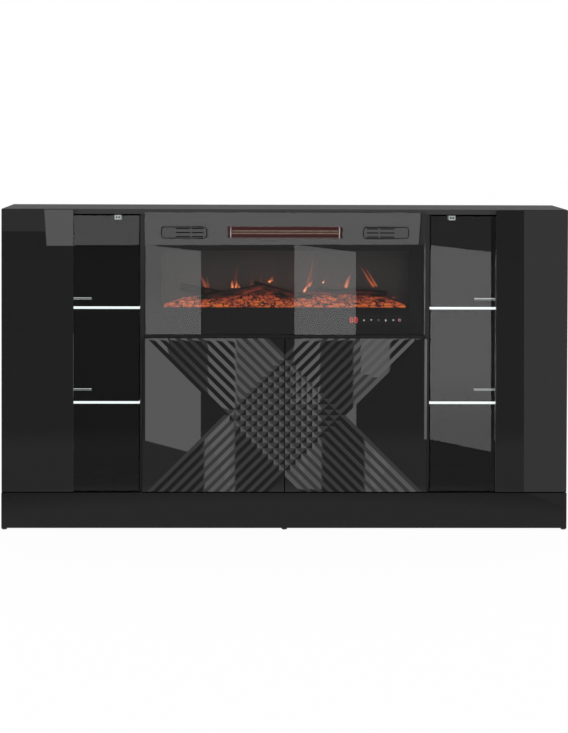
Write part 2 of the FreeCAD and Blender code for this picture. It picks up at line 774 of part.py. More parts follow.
def make_latch(name, x, board, target):
    """A housing with two bores, under its fixing plate, and a yoke with two heads that slides in it."""
    ceiling = f"({board} - {d('latch_plate')})"
    z = f"({ceiling} - {d('latch_height')} / 2)"
    start = f"({target} + {d('latch_front_gap')})"
    shell = slab(name + "_shell", (f"({x} - {d('latch_width')} / 2)", f"({x} + {d('latch_width')} / 2)"),
                 (start, f"({start} + {d('latch_length')})"),
                 (f"({ceiling} - {d('latch_height')})", ceiling), d("latch_edge"))
    plate_x = (f"({x} - {d('latch_plate_width')} / 2)", f"({x} + {d('latch_plate_width')} / 2)")
    plate = slab(name + "_plate", plate_x, (start, f"({start} + {d('latch_length')})"),
                 (ceiling, board), d("latch_edge"))
    wall = d("latch_wall")
    cavity_x = (f"({x} - {d('latch_width')} / 2 + {wall})", f"({x} + {d('latch_width')} / 2 - {wall})")
    cavity_z = (f"({ceiling} - {d('latch_height')} + {wall})", f"({ceiling} - {wall})")
    cavity_start = f"({start} + {d('latch_bore_depth')})"
    cavity_y = (cavity_start, f"({cavity_start} + {d('latch_cavity')})")
    cavity = box(name + "_cavity", cavity_x, cavity_y, cavity_z)
    bores = []
    heads = []
    yoke_start = f"({cavity_start} + {d('plunger_stop_gap')})"
    tip = f"({target} + {d('play')})"
    for k, way in enumerate((-1, 1)):
        head_x = f"({x} + {way} * {d('plunger_spacing')} / 2)"
        bores.append(rod(f"{name}_bore_{k}", "y", (head_x, f"({start} - {d('overrun')})", z),
                         f"{d('plunger_radius')} + {d('play')}",
                         f"{d('latch_bore_depth')} + 2 * {d('overrun')}"))
        heads.append(rod(f"{name}_head_{k}", "y", (head_x, tip, z), d("plunger_radius"),
                         f"({yoke_start}) - ({tip})"))
    yoke = box(name + "_yoke",
               (f"({cavity_x[0]} + {d('play')})", f"({cavity_x[1]} - {d('play')})"),
               (yoke_start, f"({yoke_start} + {d('plunger_yoke')})"),
               (f"({cavity_z[0]} + {d('play')})", f"({cavity_z[1]} - {d('play')})"))
    node(f"{name}_plunger", joined(name + "_slider", heads + [yoke]))
    return cut(name + "_hollowed", joined(name + "_body", [shell, plate]), [cavity] + bores)


def make_latches():
    """Touch latches: one behind each outer pane and one behind each carved door."""
    housings = []
    for side, name in sides():
        for kind, reach, ceiling, target in (
                ("side", f"({divider_outer} + {d('latch_offset')})", top_under, pane_back),
                ("centre", d("middle_latch_offset"), shelf_under, door_back)):
            housings.append(make_latch(f"{kind}_latch_{name}", f"({side} * {reach})", ceiling, target))
    node("latch_housings", group("latch_housing_set", housings))


# Fireplace planes
plate_back = carcass_front
plate_front = f"({plate_back} - {d('face_plate')})"
face_front = f"({plate_front} - {d('face_glass')})"
face_half = f"({bay_half} + {d('face_overlap')})"
face_foot = f"({shelf_top} + {d('face_foot_gap')})"
face_top = f"({top_under} + {d('face_top_overlap')})"
case_half = f"({bay_half} - {d('case_side_gap')})"
case_top = f"({top_under} - {d('case_top_gap')})"
case_back = f"({plate_back} + {d('case_depth')})"
case_inner_half = f"({case_half} - {d('case_sheet')})"
case_inner_back = f"({case_back} - {d('case_sheet')})"
lower_deck = f"({shelf_top} + {d('lower_deck_rise')})"
upper_deck = f"({shelf_top} + {d('upper_deck_rise')})"
lower_top = f"({lower_deck} + {d('case_sheet')})"
upper_top = f"({upper_deck} + {d('case_sheet')})"
screen_front = f"({plate_back} + {d('screen_setback')})"
screen_back = f"({screen_front} + {d('screen')})"
window_half = f"({face_half} - {d('face_margin')})"
window_foot = f"({shelf_top} + {d('window_rise')})"
window_top = f"({window_foot} + {d('window_height')})"
outlet_half = f"({d('heater_width')} / 2)"
outlet_foot = f"({shelf_top} + {d('outlet_rise')})"
outlet_top = f"({outlet_foot} + {d('outlet_height')})"
outlet_middle = f"(({outlet_foot} + {outlet_top}) / 2)"
vent_inner = f"({outlet_half} + {d('vent_gap')})"
rotor_half = f"({case_inner_half} - {d('rotor_end_gap')})"
ember_half = f"({case_inner_half} - {d('ember_end_gap')})"


def rounded_prism(xs, zs, ys, radius):
    """A block along Y whose section is a rectangle with round corners."""
    x0, x1 = value(xs[0]), value(xs[1])
    z0, z1 = value(zs[0]), value(zs[1])
    y0, y1 = value(ys[0]), value(ys[1])
    half = math.sqrt(0.5) * radius
    edges = []
    corners = [(x1 - radius, z0 + radius, 1, -1), (x1 - radius, z1 - radius, 1, 1),
               (x0 + radius, z1 - radius, -1, 1), (x0 + radius, z0 + radius, -1, -1)]
    ends = []
    for cx, cz, sx, sz in corners:
        low = Vector(cx, y0, cz + sz * radius)
        out = Vector(cx + sx * radius, y0, cz)
        start, finish = (low, out) if sx * sz < 0 else (out, low)
        edges.append(Part.Arc(start, Vector(cx + sx * half, y0, cz + sz * half), finish).toShape())
        ends.append((start, finish))
    for k in range(4):
        edges.append(Part.LineSegment(ends[k][1], ends[(k + 1) % 4][0]).toShape())
    wire = Part.Wire(Part.__sortEdges__(edges))
    return Part.Face(wire).extrude(Vector(0, y1 - y0, 0))


def vent_spans(side):
    return span(side, vent_inner, window_half), (outlet_foot, outlet_top)


def face_openings(name):
    """Cutters for the heater's outlet and the two side vents, through the glass and its plate."""
    ys = (f"({face_front} - {d('overrun')})", f"({plate_back} + {d('overrun')})")
    tools = [box(f"{name}_outlet", (minus(outlet_half), outlet_half), ys, (outlet_foot, outlet_top))]
    for side, label in sides():
        xs, zs = vent_spans(side)
        tools.append(formed(f"{name}_vent_{label}", rounded_prism(xs, zs, ys, value(d("vent_round")))))
    return tools


def touch_window(grow):
    """Limits of the control strip's window in the plate, grown by a margin."""
    right = f"({face_half} - {d('touch_margin')})"
    low = f"({shelf_top} + {d('touch_rise')})"
    return ((f"({right} - {d('touch_width')} - ({grow}))", f"({right} + ({grow}))"),
            (f"({low} - ({grow}))", f"({low} + {d('touch_height')} + ({grow}))"))


def make_fire_face():
    """The one-piece glass face and the black plate with its flame window behind it."""
    sheet_of_glass = slab("face_pane", (minus(face_half), face_half), (face_front, plate_front),
                          (face_foot, face_top), d("glass_edge"))
    node("fire_glass", cut("face_pane_cut", sheet_of_glass, face_openings("glass")))
    inset = d("plate_inset")
    plate = box("face_plate_blank", (f"(-({face_half} - {inset}))", f"({face_half} - {inset})"),
                (plate_front, plate_back), (f"({face_foot} + {inset})", f"({face_top} - {inset})"))
    through = (f"({plate_front} - {d('overrun')})", f"({plate_back} + {d('overrun')})")
    window = box("flame_window", (minus(window_half), window_half), through, (window_foot, window_top))
    xs, zs = touch_window("0")
    strip = box("touch_window", xs, through, zs)
    node("fire_frame", cut("face_plate_cut", plate, face_openings("plate") + [window, strip]))
    node("vent_louvres", group("louvre_pair", [vent_louvre(side, label) for side, label in sides()]))


def vent_louvre(side, label):
    """A slotted face block inside a shadow gap, on a flange that rests behind the plate."""
    xs, zs = vent_spans(side)
    lap = d("grille_lap")
    ring = d("vent_ring")
    rear = f"({plate_back} + {d('grille')})"
    flange = rounded_prism((f"({xs[0]} - {lap})", f"({xs[1]} + {lap})"),
                           (f"({zs[0]} - {lap})", f"({zs[1]} + {lap})"),
                           (plate_back, rear), value(d("vent_round")))
    face = rounded_prism((f"({xs[0]} + {ring})", f"({xs[1]} - {ring})"),
                         (f"({zs[0]} + {ring})", f"({zs[1]} - {ring})"),
                         (face_front, rear), value(f"{d('vent_round')} - {ring}"))
    short_start = f"({vent_inner} + {d('vent_slot_margin')})"
    short_end = f"({short_start} + {d('vent_short_slot')})"
    long_start = f"({short_end} + {d('vent_slot_bridge')})"
    long_end = f"({long_start} + {d('vent_long_slot')})"
    through = (f"({face_front} - {d('overrun')})", f"({rear} + {d('overrun')})")
    rows = int(value(d("vent_rows")))
    slots = []
    for k in range(rows):
        middle = f"({zs[0]} + ({zs[1]} - {zs[0]}) * {k + 0.5} / {rows})"
        slot_z = (f"({middle} - {d('vent_slot')} / 2)", f"({middle} + {d('vent_slot')} / 2)")
        for low, high in ((short_start, short_end), (long_start, long_end)):
            slots.append(rounded_prism(span(side, low, high), slot_z, through, value(d("vent_slot_round"))))
    return formed(f"louvre_{label}", flange.fuse(face).removeSplitter().cut(slots))


def make_firebox():
    """Folded casing with its two decks and the flame screen."""
    outside = box("case_outside", (minus(case_half), case_half), (plate_back, case_back),
                  (shelf_top, case_top))
    inside = box("case_inside", (minus(case_inner_half), case_inner_half),
                 (f"({plate_back} - {d('overrun')})", case_inner_back),
                 (f"({shelf_top} + {d('case_sheet')})", f"({case_top} - {d('case_sheet')})"))
    play = d("play")
    inlet_x, inlet_z = inlet_place()
    inlet_hole = box("inlet_hole",
                     (f"({inlet_x} - {d('inlet_body_width')} / 2 - {play})",
                      f"({inlet_x} + {d('inlet_body_width')} / 2 + {play})"),
                     (f"({case_inner_back} - {d('overrun')})", f"({case_back} + {d('overrun')})"),
                     (f"({inlet_z} - {d('inlet_body_height')} / 2 - {play})",
                      f"({inlet_z} + {d('inlet_body_height')} / 2 + {play})"))
    node("firebox_casing", cut("case_shell", outside, [inside, inlet_hole]))
    ys = (plate_back, case_inner_back)
    decks = [box(f"{name}_deck", (minus(case_inner_half), case_inner_half), ys, (low, high))
             for name, low, high in (("lower", lower_deck, lower_top), ("upper", upper_deck, upper_top))]
    node("casing_decks", group("deck_pair", decks))
    node("flame_screen", box("screen_sheet", (minus(case_inner_half), case_inner_half),
                             (screen_front, screen_back), (lower_top, upper_deck)))


def inlet_place():
    return f"({case_half} - {d('inlet_margin')})", f"({shelf_top} + {d('inlet_rise')})"


def make_heater():
    """Wire grille, two quartz tubes in their ceramic supports, and the trough reflector behind them."""
    lap = d("grille_lap")
    half = value(f"{outlet_half} + {lap}")
    low = value(f"{outlet_foot} - {lap}")
    high = value(f"{outlet_top} + {lap}")
    y = value(plate_back)
    wire = value(d("grille_wire"))
    columns = int(value(d("grille_columns")))
    rows = int(value(d("grille_rows")))
    clear_half = value(outlet_half)
    clear_low = value(outlet_foot)
    cell_x = 2 * clear_half / columns
    cell_z = (value(outlet_top) - clear_low) / rows
    outer = Part.makePolygon([Vector(-half, y, low), Vector(half, y, low), Vector(half, y, high),
                              Vector(-half, y, high), Vector(-half, y, low)])
    holes = []
    for i in range(columns):
        for j in range(rows):
            x0 = -clear_half + cell_x * i + wire / 2
            z0 = clear_low + cell_z * j + wire / 2
            x1 = x0 + cell_x - wire
            z1 = z0 + cell_z - wire
            holes.append(Part.makePolygon([Vector(x0, y, z0), Vector(x0, y, z1), Vector(x1, y, z1),
                                           Vector(x1, y, z0), Vector(x0, y, z0)]))
    net = Part.Face([outer] + holes).extrude(Vector(0, value(d("grille")), 0))
    node("heater_grille", formed("outlet_net", net))

    tube_y = f"({plate_back} + {d('tube_setback')})"
    half_tube = f"({outlet_half} - {d('tube_end_gap')})"
    tube_heights = [f"({outlet_middle} + {way} * {d('tube_pitch')} / 2)" for way in (-1, 1)]
    tubes = [rod(f"quartz_tube_{k}", "x", (minus(half_tube), tube_y, height), d("tube_radius"),
                 f"2 * {half_tube}")
             for k, height in enumerate(tube_heights)]
    node("heater_tubes", group("tube_pair", tubes))
    supports = []
    for side, name in sides():
        outer_x = f"({outlet_half} - {d('support_inset')} + {d('support')})"
        xs = span(side, f"({outer_x} - {d('support')})", outer_x)
        plate = box(f"support_{name}", xs, (f"({tube_y} - {d('support_reach')})", tube_y),
                    (f"({outlet_middle} - {d('reflector_radius')})",
                     f"({outlet_middle} + {d('reflector_radius')})"))
        rear = box(f"support_rear_{name}", xs, (tube_y, f"({tube_y} + {d('support_back_reach')})"),
                   (f"({outlet_middle} - {d('support_back_rise')})",
                    f"({outlet_middle} + {d('support_back_rise')})"))
        seats = [rod(f"support_seat_{name}_{k}", "x", (f"({xs[0]} - {d('overrun')})", tube_y, height),
                     f"{d('tube_radius')} + {d('play')}", f"{d('support')} + 2 * {d('overrun')}")
                 for k, height in enumerate(tube_heights)]
        supports.append(cut(f"support_bored_{name}", joined(f"support_solid_{name}", [plate, rear]), seats))
    node("heater_supports", group("support_set", supports))

    inner = d("reflector_radius")
    full = f"({inner} + {d('reflector_sheet')})"
    xs = (minus(outlet_half), outlet_half)
    drum = rod("reflector_drum", "x", (xs[0], tube_y, outlet_middle), full, d("heater_width"))
    lips = box("reflector_lips", xs, (f"({plate_back} + {d('grille')})", tube_y),
               (f"({outlet_middle} - {full})", f"({outlet_middle} + {full})"))
    hollow = rod("reflector_hollow", "x", (f"({xs[0]} - {d('overrun')})", tube_y, outlet_middle), inner,
                 f"{d('heater_width')} + 2 * {d('overrun')}")
    mouth = box("reflector_mouth", (f"({xs[0]} - {d('overrun')})", f"({xs[1]} + {d('overrun')})"),
                (plate_back, tube_y), (f"({outlet_middle} - {inner})", f"({outlet_middle} + {inner})"))
    solid = joined("reflector_solid", [drum, lips])
    node("heater_reflector", cut("reflector_trough", solid, [hollow, mouth]))


def make_blower():
    """A tangential wheel with its blades, the cradle that carries its shaft, and the motor."""
    y = f"({plate_back} + {d('blower_setback')})"
    z = outlet_middle
    half = f"({d('blower_length')} / 2)"
    radius = value(d("blower_radius"))
    centre = Vector(value(minus(half)), value(y), value(z))
    length = value(d("blower_length"))
    along = Vector(1, 0, 0)
    disc = value(d("blower_disc"))
    reach = value(f"{d('blower_gap')} + {d('blower_wall')}")
    shaft = Part.makeCylinder(value(d("blower_shaft_radius")), length + 2 * reach,
                              centre - along * reach, along)
    parts = [Part.makeCylinder(radius, disc, centre, along),
             Part.makeCylinder(radius, disc, centre + along * (length - disc), along)]
    count = int(value(d("blower_blades")))
    width = value(d("blade_width"))
    thick = value(d("blade"))
    for k in range(count):
        blade = Part.makeBox(length, thick, width, centre + Vector(0, -thick / 2, radius - width))
        blade.rotate(centre, along, 360.0 * k / count)
        parts.append(blade)
    node("blower_wheel", formed("tangential_wheel", shaft.fuse(parts).removeSplitter()))

    wall = d("blower_wall")
    inner = f"({half} + {d('blower_gap')})"
    outer = f"({inner} + {wall})"
    front_y = f"({y} - {d('blower_radius')} - {d('blower_gap')})"
    rear_y = f"({y} + {d('blower_radius')} + {d('blower_gap')})"
    rise = f"({z} + {d('blower_radius')})"
    pieces = [box("cradle_floor", (minus(outer), outer), (front_y, rear_y),
                  (upper_top, f"({upper_top} + {wall})")),
              box("cradle_back", (minus(outer), outer), (rear_y, f"({rear_y} + {wall})"), (upper_top, rise))]
    seats = []
    for side, name in sides():
        low, high = span(side, inner, outer)
        pieces.append(box(f"cradle_end_{name}", (low, high), (front_y, rear_y), (upper_top, rise)))
        seats.append(rod(f"cradle_seat_{name}", "x", (f"({low} - {d('overrun')})", y, z),
                         f"{d('blower_shaft_radius')} + {d('play')}", f"{wall} + 2 * {d('overrun')}"))
    node("blower_cradle", cut("cradle_bored", joined("cradle_solid", pieces), seats))

    start = f"({outer} + {d('play')})"
    case = rod("blower_motor_case", "x", (start, y, z), d("blower_motor_radius"), d("blower_motor_length"))
    pedestal = box("blower_motor_foot", (start, f"({start} + {d('blower_motor_length')})"),
                   (f"({y} - {d('motor_foot')} / 2)", f"({y} + {d('motor_foot')} / 2)"), (upper_top, z))
    node("blower_motor", joined("blower_motor_solid", [case, pedestal]))


def make_flame_effect():
    """Shaft with reflecting foils behind the screen, its bearings and motor, and the light board."""
    y = f"({plate_back} + {d('rotor_setback')})"
    z = f"({shelf_top} + {d('rotor_rise')})"
    half = rotor_half
    start = Vector(value(minus(half)), value(y), value(z))
    length = 2 * value(half)
    along = Vector(1, 0, 0)
    shaft = Part.makeCylinder(value(d("rotor_shaft_radius")), length, start, along)
    count = int(value(d("foil_count")))
    margin = value(d("foil_end_gap"))
    room = length - 2 * margin
    width = value(d("foil_width"))
    thick = value(d("foil"))
    radius = value(d("rotor_radius"))
    foils = []
    for k in range(count):
        place = start + along * (margin + room * (k + 0.5) / count)
        foil = Part.makeBox(width, thick, radius, place + Vector(-width / 2, -thick / 2, 0))
        foil.rotate(place, along, value(d("foil_turn")) * k)
        foils.append(foil)
    node("flame_rotor", formed("foil_shaft", shaft.fuse(foils).removeSplitter()))

    bearings = []
    for side, name in sides():
        outer = f"({half} - {d('play')})"
        xs = span(side, f"({outer} - {d('bearing')})", outer)
        ys = (f"({y} - {d('bearing_width')} / 2)", f"({y} + {d('bearing_width')} / 2)")
        post = box(f"bearing_{name}", xs, ys, (lower_top, f"({z} + {d('bearing_width')} / 2)"))
        seat = rod(f"bearing_seat_{name}", "x", (f"({xs[0]} - {d('overrun')})", y, z),
                   f"{d('rotor_shaft_radius')} + {d('play')}", f"{d('bearing')} + 2 * {d('overrun')}")
        bearings.append(cut(f"bearing_bored_{name}", post, [seat]))
    node("rotor_bearings", group("bearing_set", bearings))

    motor_start = f"({half} + {d('play')})"
    motor_end = f"({motor_start} + {d('rotor_motor_length')})"
    case = rod("rotor_motor_case", "x", (motor_start, y, z), d("rotor_motor_radius"),
               d("rotor_motor_length"))
    pedestal = box("rotor_motor_foot", (motor_start, motor_end),
                   (f"({y} - {d('bearing_width')} / 2)", f"({y} + {d('bearing_width')} / 2)"),
                   (lower_top, z))
    node("rotor_motor", joined("rotor_motor_solid", [case, pedestal]))

    board_front = f"({screen_back} + {d('led_gap')})"
    led_half = f"({rotor_half} - {d('led_end_gap')})"
    node("led_board", box("led_strip", (minus(led_half), led_half),
                          (board_front, f"({board_front} + {d('led_depth')})"),
                          (lower_top, f"({lower_top} + {d('led_board')})")))


# Each log: its middle as a share of the bed's half width and of its depth, and its tilt in degrees
LOG_MIDDLE_SHARES = (-0.45, -0.58, 0.03, 0.56)
LOG_DEPTH_SHARES = (0.34, 0.8, 0.38, 0.68)
LOG_TILTS = (13, -9, -14, -2)
EMBER_SHARES = ((-1.0, 0.0), (-0.86, 0.45), (-0.5, 0.85), (0.0, 1.0), (0.5, 0.88), (0.84, 0.5), (1.0, 0.0))


def log_solid(index, grow):
    """A tapered log that lies across the ember bed, tilted in the plane of the window."""
    radius = value(d("log_radius")) + grow
    taper = value(d("log_taper"))
    length = value(d("log_length")) + 2 * grow
    front_y = value(f"{plate_back} + {d('ember_front')}")
    rear_y = value(f"{screen_front} - {d('ember_rear_gap')}")
    middle = Vector(value(ember_half) * LOG_MIDDLE_SHARES[index],
                    front_y + (rear_y - front_y) * LOG_DEPTH_SHARES[index],
                    value(f"{lower_top} + {d('ember_rise')} + {d('log_radius')} - {d('log_sink')}"))
    tilt = math.radians(LOG_TILTS[index])
    along = Vector(math.cos(tilt), 0, math.sin(tilt))
    return Part.makeCone(radius, radius - taper, length, middle - along * (length / 2), along)


def make_fire_bed():
    """The ember bed, a mound in both directions with a seat under each log, and the logs."""
    half = value(ember_half)
    base = value(lower_top)
    edge = value(d("ember_edge_rise"))
    rise = value(d("ember_rise"))
    front_y = value(f"{plate_back} + {d('ember_front')}")
    rear_y = value(f"{screen_front} - {d('ember_rear_gap')}")
    outline = [Vector(-half, front_y, base)]
    outline += [Vector(half * x, front_y, base + edge + rise * z) for x, z in EMBER_SHARES]
    outline += [Vector(half, front_y, base), Vector(-half, front_y, base)]
    mound = Part.Face(Part.makePolygon(outline)).extrude(Vector(0, rear_y - front_y, 0))
    low = base + value(d("ember_front_rise"))
    high = base + edge + rise
    slope = [Vector(-half, front_y, base), Vector(-half, front_y, low),
             Vector(-half, (front_y + rear_y) / 2, high), Vector(-half, rear_y, high),
             Vector(-half, rear_y, base), Vector(-half, front_y, base)]
    ramp = Part.Face(Part.makePolygon(slope)).extrude(Vector(2 * half, 0, 0))
    bed = mound.common(ramp)
    play = value(d("play"))
    logs = []
    for index in range(len(LOG_TILTS)):
        bed = bed.cut(log_solid(index, play))
        logs.append(formed(f"log_{index}", log_solid(index, 0)))
    node("ember_bed", formed("ember_mound", bed.removeSplitter()))
    node("logs", group("log_set", logs))


def make_controls():
    """Touch panel behind the glass, with the board that carries its keys and its display."""
    xs, zs = touch_window(minus(d("play")))
    panel_front = f"({plate_front} + {d('touch_recess')})"
    pad = box("touch_pad", xs, (panel_front, f"({plate_back} + {d('touch_plate')})"), zs)
    wide_x, wide_z = touch_window(d("touch_lap"))
    rim = box("touch_rim", wide_x, (plate_back, f"({plate_back} + {d('touch_plate')})"), wide_z)
    node("touch_panel", joined("touch_panel_solid", [pad, rim]))


def make_fixing():
    """Angle brackets behind the casing with their screws, and the supply inlet."""
    brackets = []
    screws = []
    sheet_t = d("bracket_sheet")
    for side, name in sides():
        middle = f"({side} * ({case_half} - {d('bracket_margin')}))"
        xs = (f"({middle} - {d('bracket_width')} / 2)", f"({middle} + {d('bracket_width')} / 2)")
        leg = box(f"bracket_leg_{name}", xs, (case_back, f"({case_back} + {d('bracket_leg')})"),
                  (shelf_top, f"({shelf_top} + {sheet_t})"))
        wall = box(f"bracket_wall_{name}", xs, (case_back, f"({case_back} + {sheet_t})"),
                   (shelf_top, f"({shelf_top} + {d('bracket_rise')})"))
        hole_y = f"({case_back} + {d('bracket_floor_hole')})"
        hole_z = f"({shelf_top} + {d('bracket_wall_hole')})"
        bore = f"{d('screw_radius')} + {d('play')}"
        over = d("overrun")
        holes = [rod(f"bracket_floor_hole_{name}", "z", (middle, hole_y, f"({shelf_top} - {over})"), bore,
                     f"{sheet_t} + 2 * {over}"),
                 rod(f"bracket_wall_hole_{name}", "y", (middle, f"({case_back} - {over})", hole_z), bore,
                     f"{sheet_t} + 2 * {over}")]
        brackets.append(cut(f"bracket_{name}", joined(f"bracket_solid_{name}", [leg, wall]), holes))
        upright = [rod(f"floor_screw_{name}", "z", (middle, hole_y, shelf_top), d("screw_radius"), sheet_t),
                   rod(f"floor_screw_head_{name}", "z", (middle, hole_y, f"({shelf_top} + {sheet_t})"),
                       d("screw_head_radius"), d("screw_head"))]
        level = [rod(f"wall_screw_{name}", "y", (middle, case_back, hole_z), d("screw_radius"), sheet_t),
                 rod(f"wall_screw_head_{name}", "y", (middle, f"({case_back} + {sheet_t})", hole_z),
                     d("screw_head_radius"), d("screw_head"))]
        screws += [joined(f"floor_screw_solid_{name}", upright), joined(f"wall_screw_solid_{name}", level)]
    node("fixing_brackets", group("bracket_set", brackets))
    node("bracket_screws", group("screw_set", screws))

    x, z = inlet_place()
    flange = box("inlet_flange", (f"({x} - {d('inlet_width')} / 2)", f"({x} + {d('inlet_width')} / 2)"),
                 (case_back, f"({case_back} + {d('inlet_flange')})"),
                 (f"({z} - {d('inlet_height')} / 2)", f"({z} + {d('inlet_height')} / 2)"))
    half_w = f"({d('inlet_body_width')} / 2)"
    half_h = f"({d('inlet_body_height')} / 2)"
    rear = f"({case_back} + {d('inlet_flange')})"
    barrel = box("inlet_barrel", (f"({x} - {half_w})", f"({x} + {half_w})"),
                 (f"({rear} - {d('inlet_body_depth')})", rear), (f"({z} - {half_h})", f"({z} + {half_h})"))
    wall = d("inlet_wall")
    pocket = box("inlet_pocket", (f"({x} - {half_w} + {wall})", f"({x} + {half_w} - {wall})"),
                 (f"({rear} - {d('inlet_pocket')})", f"({rear} + {d('overrun')})"),
                 (f"({z} - {half_h} + {wall})", f"({z} + {half_h} - {wall})"))
    shell = cut("inlet_shell", joined("inlet_solid", [flange, barrel]), [pocket])
    prongs = []
    pin = d("inlet_pin")
    for k in (-1, 0, 1):
        pin_x = f"({x} + {k} * {d('inlet_pin_pitch')})"
        prongs.append(box(f"inlet_prong_{k + 1}",
                          (f"({pin_x} - {pin} / 2)", f"({pin_x} + {pin} / 2)"),
                          (f"({rear} - {d('inlet_pocket')} - {pin})", f"({rear} - {wall})"),
                          (f"({z} - {pin})", f"({z} + {pin})")))
    node("power_inlet", joined("inlet_with_prongs", [shell] + prongs))


def faults():
    """Every object that failed to build, and every sub-part whose shape is missing or not valid."""
    found = [thing.Name for thing in doc.Objects if "Invalid" in thing.State or "Error" in thing.State]
    for name, thing in NODES.items():
        if thing.Shape.isNull() or not thing.Shape.isValid() or not thing.Shape.Solids:
            found.append(name)
    return found


make_carcass()
make_small_fixings()
make_glass_shelves()
make_outer_doors()
make_middle_doors()
make_hinges()
make_latches()
make_fire_face()
make_firebox()
make_heater()
make_blower()
make_flame_effect()
make_fire_bed()
make_controls()
make_fixing()
doc.recompute()

broken = faults()
if broken:
    raise RuntimeError("these did not build: " + ", ".join(broken))

os.makedirs("parts", exist_ok=True)
for name, thing in NODES.items():
    thing.Shape.exportStep(os.path.join("parts", name + ".step"))
    box_of = thing.Shape.BoundBox
    print(f"{name:32s} {len(thing.Shape.Solids):3d} solids  x {box_of.XMin:8.1f} {box_of.XMax:8.1f}"
          f"  y {box_of.YMin:7.1f} {box_of.YMax:7.1f}  z {box_of.ZMin:7.1f} {box_of.ZMax:7.1f}")
print(len(NODES), "nodes")
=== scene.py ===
import math

import bpy
import numpy as np
from mathutils import Matrix, Vector


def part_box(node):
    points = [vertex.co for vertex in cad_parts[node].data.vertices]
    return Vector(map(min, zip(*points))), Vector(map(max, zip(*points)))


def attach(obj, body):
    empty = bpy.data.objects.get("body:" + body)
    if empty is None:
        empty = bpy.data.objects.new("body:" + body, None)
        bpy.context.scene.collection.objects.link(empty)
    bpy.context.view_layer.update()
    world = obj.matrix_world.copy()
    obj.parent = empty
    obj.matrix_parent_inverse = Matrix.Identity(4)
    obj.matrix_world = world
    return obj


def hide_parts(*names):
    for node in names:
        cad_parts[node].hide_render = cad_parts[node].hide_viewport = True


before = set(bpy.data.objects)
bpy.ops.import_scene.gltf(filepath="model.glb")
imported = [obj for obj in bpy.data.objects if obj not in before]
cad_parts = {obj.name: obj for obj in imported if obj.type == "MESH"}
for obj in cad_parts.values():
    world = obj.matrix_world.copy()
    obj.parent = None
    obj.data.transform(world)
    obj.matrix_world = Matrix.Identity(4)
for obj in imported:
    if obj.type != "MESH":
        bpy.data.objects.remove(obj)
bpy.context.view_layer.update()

# Finishes and fine detail of a sideboard with an electric fireplace, in metres, in the frame of its CAD
# model. +X is the viewer's right, -Y the front and +Z up.

FULL_TURN = 2 * math.pi
WHITE = (1, 1, 1, 1)


# ---------------------------------------------------------------- numbers worked out on whole arrays

HASH_WEIGHTS = np.array([12.9898, 78.233, 37.719])
HASH_GAIN, SEED_STEP = 43758.5453, 3.17


def stacked(*parts):
    """Arrays or numbers, one for each axis, as one array of points."""
    return np.stack(np.broadcast_arrays(*parts), axis=-1).astype(float)


def speckle(points, seed=0):
    """Value noise from 0 to 1: a fixed random number at each whole-number point of the grid, and between them
    the eight corner numbers weighted by 3t^2 - 2t^3 along each axis."""
    points = np.asarray(points, float)
    cell = np.floor(points)
    part = points - cell
    part = part * part * (3 - 2 * part)
    total = np.zeros(points.shape[:-1])
    for corner in range(8):
        step = np.array([corner & 1, corner >> 1 & 1, corner >> 2 & 1])
        key = (cell + step) @ HASH_WEIGHTS + seed * SEED_STEP
        number = np.modf(np.abs(np.sin(key) * HASH_GAIN))[0]
        total += number * np.prod(np.where(step == 1, part, 1 - part), axis=-1)
    return total


def rough_noise(points, seed=0, octaves=4):
    """Sum of speckle at doubled frequency and halved weight, brought back to -1..1."""
    total = np.zeros(points.shape[:-1])
    for k in range(octaves):
        total += (speckle(points * 2 ** k, seed + k) * 2 - 1) / 2 ** k
    return total / (2 - 2 ** (1 - octaves))


def ring_angles(count):
    """Angles of that many points, evenly spaced around a circle."""
    return np.linspace(0, FULL_TURN, count, endpoint=False)


def grid_faces(rows, columns, round_rows=False, round_columns=False, flip=False):
    """Quads of a grid of points stored row by row; a round direction joins its last line to its first."""
    i, j = np.meshgrid(np.arange(rows if round_rows else rows - 1),
                       np.arange(columns if round_columns else columns - 1), indexing="ij")
    i, j = i.ravel(), j.ravel()
    ni, nj = (i + 1) % rows, (j + 1) % columns
    quads = np.stack([i * columns + j, i * columns + nj, ni * columns + nj, ni * columns + j], axis=1)
    return (quads[:, ::-1] if flip else quads).tolist()


def united(parts):
    """Points and faces of several forms, one after another."""
    points, faces, start = [], [], 0
    for some, their_faces in parts:
        some = np.asarray(some, float).reshape(-1, 3)
        points.append(some)
        faces += [[k + start for k in f] for f in their_faces]
        start += len(some)
    return np.concatenate(points), faces


def swept(path, radius, sides, across):
    """A round tube: at each point of the path a circle of that radius, in the plane of the two directions
    square to the path's tangent t, which are a = t x across and b = t x a."""
    path = np.asarray(path, float)
    tangent = np.gradient(path, axis=0)
    tangent /= np.linalg.norm(tangent, axis=1, keepdims=True)
    a = np.cross(tangent, across)
    a /= np.linalg.norm(a, axis=1, keepdims=True)
    b = np.cross(tangent, a)
    turn = ring_angles(sides)[None, :, None]
    points = path[:, None] + radius * (np.cos(turn) * a[:, None] + np.sin(turn) * b[:, None])
    faces = grid_faces(len(path), sides, round_columns=True, flip=True)
    last = (len(path) - 1) * sides
    faces.append(list(range(sides)))
    faces.append([last + k for k in range(sides)][::-1])
    return points.reshape(-1, 3), faces


def block(low, high):
    """The eight corners and six sides of a straight-edged bar."""
    x, y, z = zip(low, high)
    points = [(a, b, c) for a in x for b in y for c in z]
    faces = [(0, 1, 3, 2), (4, 6, 7, 5), (0, 4, 5, 1), (2, 3, 7, 6), (0, 2, 6, 4), (1, 5, 7, 3)]
    return points, faces


